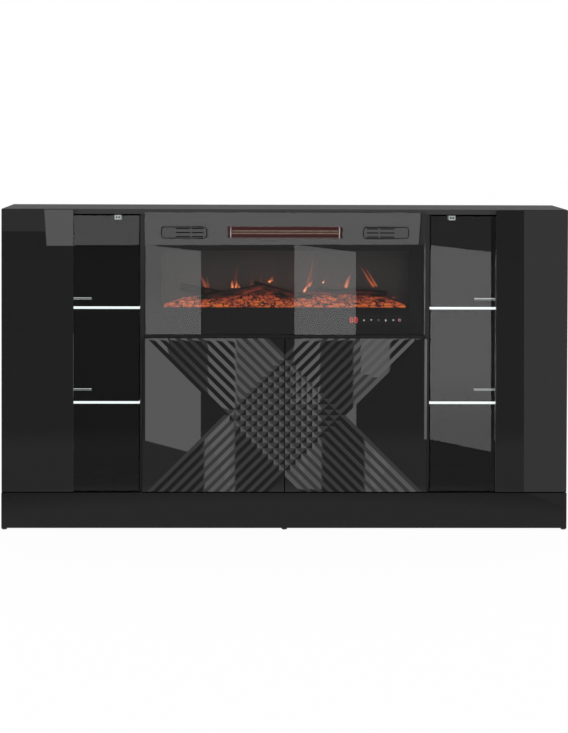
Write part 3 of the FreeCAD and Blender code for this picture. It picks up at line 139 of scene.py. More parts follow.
def plate_of(outline, y_front, y_back):
    """A thin plate whose outline (x, z) runs anticlockwise as seen from the front."""
    count = len(outline)
    points = [(x, y, z) for y in (y_front, y_back) for x, z in outline]
    faces = [list(range(count)), list(range(count, 2 * count))[::-1]]
    faces += [[k, k + count, (k + 1) % count + count, (k + 1) % count] for k in range(count)]
    return points, faces


# ---------------------------------------------------------------- finishes

SPECULAR = "Specular IOR Level"
METAL = {"Metallic": 1.0}
NOISE_LOW, NOISE_HIGH = 0.3, 0.7
RELIEF_GRAINS = 6


def shader(tree, kind, values=None, **settings):
    """A shader node. Each of its values is a number, a colour, or the socket of another node."""
    node = tree.nodes.new("ShaderNode" + kind)
    for key, setting in settings.items():
        setattr(node, key, setting)
    for key, given in (values or {}).items():
        if isinstance(given, bpy.types.NodeSocket):
            tree.links.new(given, node.inputs[key])
        else:
            node.inputs[key].default_value = given
    return node


def new_finish(name):
    made = bpy.data.materials.new(name)
    made.use_nodes = True
    made.node_tree.nodes.clear()
    return made, made.node_tree


def show(tree, surface):
    tree.links.new(surface, shader(tree, "OutputMaterial").inputs["Surface"])


def maths(tree, operation, *given, clamp=False):
    return shader(tree, "Math", dict(enumerate(given)), operation=operation, use_clamp=clamp).outputs[0]


def place(tree, stretch=(1, 1, 1)):
    """Object coordinates, in metres, stretched per axis."""
    at = shader(tree, "TexCoord").outputs["Object"]
    return shader(tree, "Mapping", {"Vector": at, "Scale": stretch}).outputs[0]


def axes_of(tree):
    """x, y and z of each point."""
    return shader(tree, "SeparateXYZ", {0: place(tree)}).outputs


def noise(tree, where, scale, detail=3.0, rough=0.55):
    values = {"Vector": where, "Scale": scale, "Detail": detail, "Roughness": rough}
    return shader(tree, "TexNoise", values).outputs["Fac"]


def between(tree, amount, low, high, start=0.0, end=1.0):
    """From low to high while the amount goes from start to end."""
    values = {"Value": amount, "From Min": start, "From Max": end, "To Min": low, "To Max": high}
    return shader(tree, "MapRange", values).outputs["Result"]


def from_noise(tree, mottle, low=0.0, high=1.0):
    """Noise spread over the whole way from low to high."""
    return between(tree, mottle, low, high, NOISE_LOW, NOISE_HIGH)


def at_heights(tree, z, heights, half):
    """1 where z lies within half of one of two heights, and 0 elsewhere."""
    first, second = (maths(tree, "COMPARE", z, height, half) for height in heights)
    return maths(tree, "MAXIMUM", first, second)


def blended(tree, amount, first, second):
    mix = shader(tree, "Mix", data_type="RGBA")
    for socket, given in ((mix.inputs[0], amount), (mix.inputs[6], first), (mix.inputs[7], second)):
        if isinstance(given, bpy.types.NodeSocket):
            tree.links.new(given, socket)
        else:
            socket.default_value = given
    return mix.outputs[2]


def tone(level, tint=(1, 1, 1)):
    return (level * tint[0], level * tint[1], level * tint[2], 1)


def shades(tree, amount, dark, light):
    """From one grey to another."""
    return blended(tree, amount, tone(dark), tone(light))


def relief(tree, height, distance, strength=1.0):
    return shader(tree, "Bump", {"Height": height, "Distance": distance, "Strength": strength}).outputs[0]


def skin(tree, colour, rough, values):
    given = {"Base Color": colour, "Roughness": rough} | values
    return shader(tree, "BsdfPrincipled", given).outputs[0]


def shine(tree, colour, strength):
    return shader(tree, "Emission", {"Color": colour, "Strength": strength}).outputs[0]


def see_through(tree, colour=WHITE):
    return shader(tree, "BsdfTransparent", {"Color": colour}).outputs[0]


def layered(tree, share, under, over):
    return shader(tree, "MixShader", {0: share, 1: under, 2: over}).outputs[0]


def solid_finish(name, dark, light, rough, grain, fine, values=None, stretch=(1, 1, 1)):
    """Two near shades and a roughness that follow noise of that grain, and a low relief of a finer grain."""
    made, tree = new_finish(name)
    where = place(tree, stretch)
    mottle = noise(tree, where, grain)
    colour = blended(tree, from_noise(tree, mottle), dark, light)
    bumps = relief(tree, noise(tree, where, grain * RELIEF_GRAINS, 2.0), fine)
    show(tree, skin(tree, colour, from_noise(tree, mottle, *rough), {"Normal": bumps} | (values or {})))
    return made


DUST_GRAIN, DUST_DETAIL = 60.0, 5.0
DUST_FROM, DUST_TO = 0.35, 0.85
DUSTY_GLOSS, DUSTY_CLEAR = 0.985, 0.975


def glass_skin(tree, tint, ior):
    """Clear glass as a film: what is behind it, dimmed by the tint and a little dust, under a front-face
    Fresnel gloss."""
    front = maths(tree, "SUBTRACT", 1.0, shader(tree, "NewGeometry").outputs["Backfacing"])
    share = maths(tree, "MULTIPLY", shader(tree, "Fresnel", {"IOR": ior}).outputs[0], front)
    dust = between(tree, noise(tree, place(tree), DUST_GRAIN, DUST_DETAIL), 0.0, 1.0, DUST_FROM, DUST_TO)
    gloss = {"Color": blended(tree, dust, WHITE, tone(DUSTY_GLOSS)), "Roughness": 0.0}
    clear = see_through(tree, blended(tree, dust, tint, tone(DUSTY_CLEAR, tint)))
    return layered(tree, share, clear, shader(tree, "BsdfAnisotropic", gloss).outputs[0])


def glass_finish(name, tint, ior=1.5):
    made, tree = new_finish(name)
    show(tree, glass_skin(tree, tint, ior))
    return made


def glow_finish(name, colour, strength, ripple=0.15, scale=300.0):
    """A lit part, its light a little uneven along it."""
    made, tree = new_finish(name)
    uneven = noise(tree, place(tree), scale, 2.0)
    level = from_noise(tree, uneven, strength * (1 - ripple), strength * (1 + ripple))
    show(tree, shine(tree, colour, level))
    return made


BACK_FACE_Y = 0.1938


def back_sheet_finish():
    """Hardboard: the inner face black, and the raw face behind it paler with coarse fibres along z."""
    made, tree = new_finish("black_back_sheet")
    x, y, z = axes_of(tree)
    behind = maths(tree, "GREATER_THAN", y, BACK_FACE_Y)
    mottle = from_noise(tree, noise(tree, place(tree), 500))
    fibres = from_noise(tree, noise(tree, place(tree, (1, 1, 0.2)), 150, 4))
    colour = blended(tree, behind, shades(tree, mottle, 0.0012, 0.0022), shades(tree, fibres, 0.012, 0.019))
    bumps = relief(tree, mottle, 0.00005)
    show(tree, skin(tree, colour, between(tree, mottle, 0.55, 0.7), {SPECULAR: 0.05, "Normal": bumps}))
    return made


GLOW_FOOT, GLOW_TOP = 0.72, 0.90
GLOW_LEFT, GLOW_MIDDLE, GLOW_RIGHT = -0.42, -0.02, 0.40
STREAK_HEIGHT, STREAK_HALF = 0.8816, 0.0010
STREAK_STARTS, STREAK_FULL, STREAK_FADES, STREAK_ENDS = -0.218, -0.17, -0.094, 0.030


def screen_finish():
    """Dark acrylic with the dull red light of the fire behind it: strongest low down and near the middle,
    fading with height and towards both ends, and a thin streak of the same light near its top."""
    made, tree = new_finish("smoked_flame_screen")
    x, y, z = axes_of(tree)
    low = between(tree, z, 1.0, 0.0, GLOW_FOOT, GLOW_TOP)
    right = between(tree, x, 1.0, 0.0, GLOW_MIDDLE, GLOW_RIGHT)
    left = between(tree, x, 0.0, 1.0, GLOW_LEFT, GLOW_MIDDLE)
    cloud = from_noise(tree, noise(tree, place(tree, (1, 1, 0.6)), 14, 3), 0.35, 1.5)
    spread = maths(tree, "MULTIPLY", low, maths(tree, "MULTIPLY", right, left))
    starts = between(tree, x, 0.0, 1.0, STREAK_STARTS, STREAK_FULL)
    ends = between(tree, x, 1.0, 0.0, STREAK_FADES, STREAK_ENDS)
    line = maths(tree, "COMPARE", z, STREAK_HEIGHT, STREAK_HALF)
    streak = maths(tree, "MULTIPLY", line, maths(tree, "MULTIPLY", starts, ends))
    glow = maths(tree, "ADD", maths(tree, "MULTIPLY", spread, cloud), streak)
    grain = noise(tree, place(tree), 500)
    show(tree, skin(tree, shades(tree, grain, 0.029, 0.033), between(tree, grain, 0.3, 0.4), {
        SPECULAR: 0.06, "Emission Color": (1, 0.36, 0.24, 1),
        "Emission Strength": between(tree, glow, 0.001, 0.030)}))
    return made


FLOAT_GLASS = (0.93, 0.96, 0.945, 1)
SHELF_FRONT, SHELF_LIT_TO, SHELF_GLOW_DEPTH = -0.1595, -0.1585, 0.12
SHELF_END, SHELF_END_TO = 0.4634, 0.4640
SHELF_LIGHT, SHELF_STRENGTH = (0.94, 0.97, 1, 1), 1.15


def shelf_finish():
    """Clear glass lit through its thickness: its front edge shines white, and so does the inner end, less and
    less towards the back."""
    made, tree = new_finish("lit_shelf_glass")
    x, y, z = axes_of(tree)
    front = between(tree, y, 1.0, 0.0, SHELF_FRONT, SHELF_LIT_TO)
    inner_end = between(tree, maths(tree, "ABSOLUTE", x), 1.0, 0.0, SHELF_END, SHELF_END_TO)
    near_front = between(tree, y, 1.0, 0.0, SHELF_FRONT, SHELF_FRONT + SHELF_GLOW_DEPTH)
    lit = maths(tree, "MAXIMUM", front, maths(tree, "MULTIPLY", inner_end, near_front))
    glow = shine(tree, SHELF_LIGHT, SHELF_STRENGTH)
    show(tree, layered(tree, lit, glass_skin(tree, FLOAT_GLASS, 1.5), glow))
    return made


VENT_FACE_Y, VENT_GAP_Y = -0.1858, -0.1856


def vent_finish():
    """Glossy black face, and matt black in the gap around it and inside the slots, told apart by depth."""
    made, tree = new_finish("glossy_vent_plastic")
    x, y, z = axes_of(tree)
    deep = between(tree, y, 0.0, 1.0, VENT_FACE_Y, VENT_GAP_Y)
    mottle = noise(tree, place(tree), 200)
    face = skin(tree, shades(tree, mottle, 0.0012, 0.0022), between(tree, mottle, 0.02, 0.03),
                {SPECULAR: 0.46})
    gap = skin(tree, shades(tree, mottle, 0.009, 0.013), between(tree, mottle, 0.6, 0.7), {SPECULAR: 0.1})
    show(tree, layered(tree, deep, face, gap))
    return made


LIP_HEIGHT, LIP_TOP = 0.9283, 0.9290


def reflector_finish():
    """Heat-stained sheet with the coils' dull red light painted on as emission, paler on the lower lip."""
    made, tree = new_finish("heat_stained_reflector")
    x, y, z = axes_of(tree)
    lip = between(tree, z, 1.0, 0.0, LIP_HEIGHT, LIP_TOP)
    mottle = noise(tree, place(tree, (1, 12, 12)), 160)
    # Painted light: the glow of the coils on the sheet, paler on the lower lip, set as emission colour
    light = blended(tree, lip, (0.060, 0.018, 0.018, 1), (0.105, 0.085, 0.082, 1))
    colour = blended(tree, mottle, (0.05, 0.026, 0.026, 1), (0.075, 0.04, 0.04, 1))
    show(tree, skin(tree, colour, between(tree, mottle, 0.3, 0.42),
                    METAL | {"Emission Color": light, "Emission Strength": 0.8}))
    return made


SHELF_HEIGHTS = (0.704, 0.401)
CLIP_LINE_RISE, CLIP_LINE_HALF = 0.0062, 0.0005


def clip_finish():
    """Dark clip with a thin lit line along its front, at one height above each row of shelves."""
    made, tree = new_finish("clip_with_light_line")
    x, y, z = axes_of(tree)
    line = at_heights(tree, z, [height + CLIP_LINE_RISE for height in SHELF_HEIGHTS], CLIP_LINE_HALF)
    grain = noise(tree, place(tree), 900)
    body = skin(tree, shades(tree, grain, 0.002, 0.004), between(tree, grain, 0.4, 0.5), {SPECULAR: 0.1})
    light = shine(tree, (0.96, 0.98, 1, 1), between(tree, grain, 1.30, 1.42))
    show(tree, layered(tree, line, body, light))
    return made


LATCH_PLATE_HEIGHTS, LATCH_PLATE_HALF = (1.002, 0.601), 0.00201


def latch_finish():
    """Light grey body under a dark fixing plate, told apart by the heights of the two rows of plates."""
    made, tree = new_finish("grey_latch_with_dark_plate")
    x, y, z = axes_of(tree)
    plate = at_heights(tree, z, LATCH_PLATE_HEIGHTS, LATCH_PLATE_HALF)
    grain = noise(tree, place(tree), 900)
    colour = blended(tree, plate, shades(tree, grain, 0.76, 0.84), shades(tree, grain, 0.010, 0.016))
    bumps = relief(tree, grain, 0.00003)
    show(tree, skin(tree, colour, between(tree, grain, 0.38, 0.5), {"Normal": bumps}))
    return made


CREAM, WARM_GREY = (1, 0.98, 0.94), (1, 0.99, 0.96)
# Slot of a CAD node: name of the finish, dark and light shade, roughness from and to, grains per metre,
# height of the relief, other sockets, and stretch of the grain along each axis
SOLIDS = {
    "matt_board": ("black_melamine", tone(0.0085), tone(0.0125), (0.42, 0.5), 700, 0.00004, {SPECULAR: 0.25}),
    "gloss_front": ("black_gloss_lacquer", tone(0.0038), tone(0.0052), (0.012, 0.022), 60, 0.0000015),
    "anodised_strip": ("dark_anodised_strip", tone(0.12), tone(0.18), (0.3, 0.42), 90, 0.00002, METAL,
                       (30, 30, 1)),
    "nickel_steel": ("nickel_plated_steel", tone(0.5), tone(0.62, WARM_GREY), (0.22, 0.34), 260, 0.00002,
                     METAL),
    "galvanised_steel": ("galvanised_sheet", tone(0.36), tone(0.55), (0.3, 0.5), 110, 0.00002, METAL),
    "black_steel": ("black_powder_coat", tone(0.0078), tone(0.0090), (0.5, 0.62), 1500, 0.00005,
                    {SPECULAR: 0.04}),
    "grille_wire": ("heat_proof_black_paint", tone(0.02), tone(0.035), (0.5, 0.6), 1500, 0.00004,
                    {SPECULAR: 0.2}),
    "motor_steel": ("grey_motor_case", tone(0.16), tone(0.22), (0.32, 0.45), 400, 0.00003, {"Metallic": 0.7}),
    "blower_aluminium": ("pressed_blade_aluminium", tone(0.45), tone(0.6), (0.3, 0.42), 130, 0.00002, METAL,
                         (2, 20, 20)),
    "mirror_foil": ("mirror_foil", tone(0.74), tone(0.84), (0.05, 0.12), 120, 0.00002, METAL),
    "glide_plastic": ("black_glide_plastic", tone(0.016), tone(0.024), (0.42, 0.55), 900, 0.00004),
    "clear_bumper": ("soft_clear_bumper", tone(0.42), tone(0.5), (0.2, 0.32), 800, 0.00003),
    "clip_plastic": ("light_grey_clip_plastic", tone(0.6), tone(0.68), (0.35, 0.45), 900, 0.00003),
    "plunger_plastic": ("dark_plunger_plastic", tone(0.010), tone(0.016), (0.42, 0.55), 900, 0.00003,
                        {SPECULAR: 0.2}),
    "black_plastic": ("moulded_black_plastic", tone(0.012), tone(0.018), (0.42, 0.52), 900, 0.00004),
    "white_ceramic": ("white_steatite", tone(0.7, CREAM), tone(0.8, CREAM), (0.3, 0.4), 500, 0.00003),
    "circuit_board": ("green_solder_mask", (0.02, 0.12, 0.045, 1), (0.03, 0.17, 0.06, 1), (0.3, 0.45), 700,
                      0.00003),
    "touch_black": ("black_touch_panel", tone(0.0078), tone(0.0088), (0.25, 0.35), 300, 0.00001,
                    {SPECULAR: 0.04}),
}
FINISHES = {slot: solid_finish(*given) for slot, given in SOLIDS.items()}
FINISHES["back_sheet"] = back_sheet_finish()
FINISHES["clear_glass"] = glass_finish("clear_float_glass", FLOAT_GLASS, 1.41)
FINISHES["face_glass"] = glass_finish("clear_face_glass", (0.97, 0.975, 0.97, 1))
FINISHES["quartz_tube"] = glass_finish("clear_quartz", (0.98, 0.96, 0.93, 1), 1.46)
FINISHES["smoked_screen"] = screen_finish()

# CAD nodes that look unlike the rest of their slot
OWN_FINISHES = {
    # Painted sheen: the same black melamine as the boards, made four times paler with less gloss
    "top_panel": solid_finish("black_top_board_painted_sheen", tone(0.0418), tone(0.0466), (0.58, 0.66), 700, 0.00005,
                              {SPECULAR: 0.072}),
    "plinth_front": solid_finish("black_plinth_lacquer", tone(0.0038), tone(0.0052), (0.015, 0.025), 60,
                                 0.0000015, {SPECULAR: 0.25}),
    "glass_shelves": shelf_finish(),
    "light_clips": clip_finish(),
    "vent_louvres": vent_finish(),
    "heater_reflector": reflector_finish(),
    "latch_housings": latch_finish(),
}
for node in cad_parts.values():
    for held in node.material_slots:
        held.material = FINISHES.get(held.material.name, held.material)
for node_name, own_finish in OWN_FINISHES.items():
    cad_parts[node_name].material_slots[0].material = own_finish


# ---------------------------------------------------------------- new pieces

HEAT = "fire_light"


def mesh_of(name, form, finish):
    points, faces = form
    mesh = bpy.data.meshes.new(name)
    mesh.from_pydata(np.asarray(points, float).reshape(-1, 3).tolist(), [], [list(f) for f in faces])
    mesh.materials.append(finish)
    made = bpy.data.objects.new(name, mesh)
    bpy.context.scene.collection.objects.link(made)
    return made, mesh


def add_piece(name, form, finish, instead_of=(), smooth=True, heat=None):
    """A piece of the cabinet's fixed body. A glow level, painted light on the logs, is kept at each point, as
    a colour.
    """
    made, mesh = mesh_of(name, form, finish)
    mesh.polygons.foreach_set("use_smooth", [smooth] * len(mesh.polygons))
    if heat is not None:
        attribute = mesh.color_attributes.new(HEAT, "FLOAT_COLOR", "POINT")
        attribute.data.foreach_set("color", np.asarray(heat, np.float32).ravel())
    mesh.validate()
    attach(made, "cabinet")
    if instead_of:
        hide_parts(*instead_of)


# The heater: a wire net over the outlet, and two quartz tubes with a glowing coil in each

NET_RIM, NET_TUCK = 0.004, 0.003
NET_HALF, NET_WIRES, NET_WIRE = 0.18, 73, 0.00042
CROSS_WIRES, CROSS_WIRE, CROSS_WIRE_BEHIND = 4, 0.0003, 0.0003
WIRE_SIDES = 6
TUBE_HEIGHTS, TUBE_Y = (0.9415, 0.9495), -0.156
TUBE_HALF, TUBE_RADIUS, TUBE_BORE, TUBE_SIDES = 0.1805, 0.0034, 0.0027, 28
COIL_HALF, COIL_RADIUS, COIL_PITCH, COIL_WIRE = 0.169, 0.0019, 0.0022, 0.00042
COIL_STEPS, COIL_SIDES = 10, 5


def rim(low, high, width, y_front, y_back):
    """A flat picture-frame rim: four rings of corners, outer front, inner front, inner back, outer back."""
    rings = []
    for inset, y in ((0, y_front), (width, y_front), (width, y_back), (0, y_back)):
        rings.append([(low[0] + inset, y, low[1] + inset), (high[0] - inset, y, low[1] + inset),
                      (high[0] - inset, y, high[1] - inset), (low[0] + inset, y, high[1] - inset)])
    return np.array(rings).reshape(-1, 3), grid_faces(4, 4, round_rows=True, round_columns=True)


def outlet_net():
    """Upright wires 5 mm apart and four thinner cross wires, each a straight swept tube, in a flat rim."""
    low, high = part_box("heater_grille")
    y = (low.y + high.y) / 2
    behind = y + CROSS_WIRE_BEHIND
    parts = [rim((low.x, low.z), (high.x, high.z), NET_RIM, low.y, high.y)]
    for x in np.linspace(-NET_HALF, NET_HALF, NET_WIRES):
        path = [(x, y, low.z + NET_TUCK), (x, y, high.z - NET_TUCK)]
        parts.append(swept(path, NET_WIRE, WIRE_SIDES, (0, 1, 0)))
    for z in np.linspace(low.z + NET_RIM, high.z - NET_RIM, CROSS_WIRES + 2)[1:-1]:
        path = [(low.x + NET_TUCK, behind, z), (high.x - NET_TUCK, behind, z)]
        parts.append(swept(path, CROSS_WIRE, WIRE_SIDES, (0, 1, 0)))
    return united(parts)


def tube_walls(centre_z):
    """A hollow tube along X: rings at the outer radius, then back along the inner radius, closed at the
    ends."""
    turn = ring_angles(TUBE_SIDES)
    walls = ((-1, TUBE_RADIUS), (1, TUBE_RADIUS), (1, TUBE_BORE), (-1, TUBE_BORE))
    rings = [stacked(end * TUBE_HALF, TUBE_Y + radius * np.cos(turn), centre_z + radius * np.sin(turn))
             for end, radius in walls]
    return np.concatenate(rings), grid_faces(4, TUBE_SIDES, round_rows=True, round_columns=True, flip=True)


def coil(centre_z):
    """A helix along X: y and z turn on a circle while x advances by the pitch in each turn."""
    turns = 2 * COIL_HALF / COIL_PITCH
    t = np.linspace(0, turns * FULL_TURN, int(turns * COIL_STEPS))
    path = stacked(COIL_PITCH * t / FULL_TURN - COIL_HALF, TUBE_Y + COIL_RADIUS * np.cos(t),
                   centre_z + COIL_RADIUS * np.sin(t))
    return swept(path, COIL_WIRE, COIL_SIDES, (1, 0, 0))


add_piece("outlet_wire_net", outlet_net(), FINISHES["grille_wire"], ["heater_grille"],
          smooth=False)
add_piece("quartz_tube_walls", united([tube_walls(z) for z in TUBE_HEIGHTS]), FINISHES["quartz_tube"],
          ["heater_tubes"])
add_piece("glowing_coils", united([coil(z) for z in TUBE_HEIGHTS]),
          glow_finish("glowing_coil_wire", (1, 0.80, 0.66, 1), 0.30, 0.25, 90.0))


# The fire: a mound of glowing coals, charred logs on it, and flames thrown on the screen

BED_COLUMNS, BED_ROWS = 330, 64
COALS_ALONG, COALS_DEEP, BED_STRETCH = 46, 7, 1.25
ARCH_SIDES, ARCH_LEVELS = (0, 0.5, 0.85, 1), (1.0, 0.88, 0.48, 0.03)
RAMP_DEPTHS, RAMP_LEVELS = (0, 0.5, 1), (0.2, 1.0, 1.0)
ARCH_FOOT, ARCH_RISE, RAMP_FOOT, RAMP_RISE = 0.008, 0.036, 0.007, 0.037
COAL_CROWN, COAL_UNEVEN, CRACK_DEPTH, COAL_GRAIN = 0.0045, 0.003, 0.0035, 0.0009
CRACK_WIDTH, BED_THINNEST, BED_HEIGHT = 0.22, 0.0012, 0.044
WOBBLE_GRAINS = (60, 9)
WOBBLE_ALONG, WOBBLE_DEEP = 0.012, 0.08
GRAINS_OF_COAL, GRAINS_OF_PATCH = 260, 42
JITTER_MARGIN = 0.1


def coal_points(columns, rows, seed):
    """Coal centres in the bed's plan: a jittered grid, one in each cell."""
    i, j = np.meshgrid(np.arange(columns), np.arange(rows), indexing="ij")
    cell = stacked(i, j, 0).reshape(-1, 3)
    jitter = np.stack([speckle(cell * 7.3 + 0.37, seed), speckle(cell * 5.1 + 3.9, seed + 9)], axis=1)
    return (cell[:, :2] + JITTER_MARGIN + (1 - 2 * JITTER_MARGIN) * jitter) / np.array([columns, rows])


def nearest_coals(u, v):
    """Distance of each point of the plan, bent a little by noise, to its nearest and its second nearest coal,
    counted in coals, and which coal is nearest."""
    across, deep = u * WOBBLE_GRAINS[0], v * WOBBLE_GRAINS[1]
    plan = np.stack([u + WOBBLE_ALONG * rough_noise(stacked(across, deep, 0), 4),
                     v + WOBBLE_DEEP * rough_noise(stacked(across, deep, 5), 5)], axis=-1)
    scale = np.array([COALS_ALONG / BED_STRETCH, COALS_DEEP])
    nearest, second = np.full(u.shape, np.inf), np.full(u.shape, np.inf)
    which = np.zeros(u.shape, int)
    for k, centre in enumerate(coal_points(COALS_ALONG, COALS_DEEP, 3)):
        apart = (plan - centre) * scale
        d = np.hypot(apart[..., 0], apart[..., 1])
        closer = d < nearest
        second = np.where(closer, nearest, np.minimum(second, d))
        nearest = np.where(closer, d, nearest)
        which = np.where(closer, k, which)
    return nearest, second, which


def ember_mound():
    """Height over the plan (u along X, v from front to back): the lower of an arch over u and a ramp over v,
    raised by rounded coals, each 1 - d^2 about its centre, and lowered to cracks where two coals are equally
    near. Heat is bright low at the front and fades up and back; cracks and some coals are dark."""
    low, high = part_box("ember_bed")
    u, v = np.meshgrid(np.linspace(0, 1, BED_COLUMNS), np.linspace(0, 1, BED_ROWS), indexing="ij")
    x = low.x + (high.x - low.x) * u
    y = low.y + (high.y - low.y) * v
    arch = np.interp(np.abs(2 * u - 1), ARCH_SIDES, ARCH_LEVELS)
    ramp = np.interp(v, RAMP_DEPTHS, RAMP_LEVELS)
    top = np.minimum(ARCH_FOOT + ARCH_RISE * arch, RAMP_FOOT + RAMP_RISE * ramp)
    nearest, second, which = nearest_coals(u, v)
    crack = np.clip((second - nearest) / CRACK_WIDTH, 0, 1)
    crown = COAL_CROWN * (1 - np.clip(nearest, 0, 1) ** 2)
    lump = crown + COAL_UNEVEN * (speckle(stacked(which, 0, 0), 8) - 0.5) - CRACK_DEPTH * (1 - crack)
    grain = rough_noise(stacked(x * GRAINS_OF_COAL, y * GRAINS_OF_COAL, 0), 12)
    z = low.z + top + (lump + COAL_GRAIN * grain) * np.clip(arch * 2.2, 0, 1)
    z = np.maximum(z, low.z + BED_THINNEST)
    rise = np.clip((z - low.z) / BED_HEIGHT, 0, 1)
    patch = speckle(stacked(x * GRAINS_OF_PATCH, y * GRAINS_OF_PATCH, 0), 21) - 0.5
    each = speckle(stacked(which * 3, 0, 0), 15) - 0.5
    heat = np.clip(1.30 - 0.85 * rise + 0.40 * patch + 0.20 * each, 0, 1) * (0.45 + 0.55 * crack)
    surface = stacked(x, y, z).reshape(-1, 3)
    edge = [i * BED_ROWS for i in range(BED_COLUMNS)]
    edge += [(BED_COLUMNS - 1) * BED_ROWS + j for j in range(1, BED_ROWS)]
    edge += [i * BED_ROWS + BED_ROWS - 1 for i in range(BED_COLUMNS - 2, -1, -1)]
    edge += list(range(BED_ROWS - 2, 0, -1))
    foot = surface[edge]
    foot[:, 2] = low.z
    count, ring = len(surface), len(edge)
    faces = grid_faces(BED_COLUMNS, BED_ROWS, flip=True)
    faces += [[edge[k], count + k, count + (k + 1) % ring, edge[(k + 1) % ring]] for k in range(ring)]
    faces.append([count + k for k in range(ring)][::-1])
    colour = stacked(heat, rise, crack, 1).reshape(-1, 4)
    colour = np.concatenate([colour, np.tile([1.0, 0.0, 1.0, 1.0], (ring, 1))])
    return (np.concatenate([surface, foot]), faces), colour


def kept_heat(tree):
    """The three numbers that a piece keeps at each point."""
    heat = shader(tree, "Attribute", attribute_name=HEAT, attribute_type="GEOMETRY")
    return shader(tree, "SeparateColor", {0: heat.outputs["Color"]}).outputs


def cell_edges(tree, where, scale):
    """Distance to the nearest border between cells."""
    cells = shader(tree, "TexVoronoi", {"Vector": where, "Scale": scale}, feature="DISTANCE_TO_EDGE")
    return cells.outputs["Distance"]


# Colour of the coals, from cold to hot: place on the ramp, and colour
EMBER_COLD, EMBER_HOT = (0.12, (0.002, 0.001, 0.001, 1)), (1.0, (0.56, 0.125, 0.022, 1))
EMBER_STOPS = ((0.3, (0.06, 0.010, 0.006, 1)), (0.5, (0.24, 0.044, 0.024, 1)),
               (0.75, (0.42, 0.072, 0.022, 1)))


def ember_finish():
    """Translucent resin lit from below: from orange through red to black by the heat kept at each point,
    split by fine cracks that are the borders of bent cells."""
    made, tree = new_finish("glowing_ember_resin")
    heat = kept_heat(tree)[0]
    where = place(tree)
    fleck = from_noise(tree, noise(tree, where, 420, 4), -0.2, 0.2)
    drift = shader(tree, "TexNoise", {"Vector": where, "Scale": 70.0, "Detail": 3.0}).outputs["Color"]
    bend = {0: 0.014, 4: place(tree, (0.42, 1, 1.2)), 5: drift}
    bent = shader(tree, "Mix", bend, data_type="VECTOR").outputs[1]
    split = between(tree, cell_edges(tree, bent, 66.0), 0.0, 1.0, 0.035, 0.085)
    patches = between(tree, noise(tree, place(tree, (0.5, 1, 1)), 60, 2), 0.62, 1.25, 0.35, 0.65)
    warm = maths(tree, "ADD", heat, fleck, clamp=True)
    warm = maths(tree, "MULTIPLY", warm, patches, clamp=True)
    ramp = shader(tree, "ValToRGB", {0: maths(tree, "MULTIPLY", warm, split, clamp=True)})
    stops = ramp.color_ramp.elements
    for stop, (position, colour) in zip(stops, (EMBER_COLD, EMBER_HOT)):
        stop.position, stop.color = position, colour
    for position, colour in EMBER_STOPS:
        stops.new(position).color = colour
    body = blended(tree, heat, (0.004, 0.002, 0.002, 1), (0.03, 0.008, 0.005, 1))
    bumps = relief(tree, noise(tree, where, 900, 3), 0.0002)
    show(tree, skin(tree, body, 0.42, {SPECULAR: 0.1, "Normal": bumps, "Emission Color": ramp.outputs[0],
                                       "Emission Strength": 1.0}))
    return made


ember_form, ember_heat = ember_mound()
add_piece("ember_coals", ember_form, ember_finish(), ["ember_bed"], heat=ember_heat)

# Each log: middle (x, y, z), tilt in degrees, and seed
LOGS = ((-0.1733, -0.1478, 0.7495, 13, 1), (-0.2233, -0.1124, 0.7495, -9, 2),
        (0.01155, -0.1447, 0.7495, -14, 3), (0.2156, -0.1216, 0.7495, -2, 4))
LOG_LENGTH, LOG_BUTT, LOG_TIP = 0.230, 0.013, 0.010
LOG_ROWS, LOG_COLUMNS = 150, 64
RIDGE_SHARE, BARK_CRACK_SHARE, BARK_CRACK_WIDTH = 0.12, 0.10, 0.09
LOG_BOW, BREAK_LENGTH, BREAK_FADE, END_ROWS = 0.0022, 0.004, 14, 2.2
GLOW_STARTS, GLOW_FULL = -0.262, -0.232


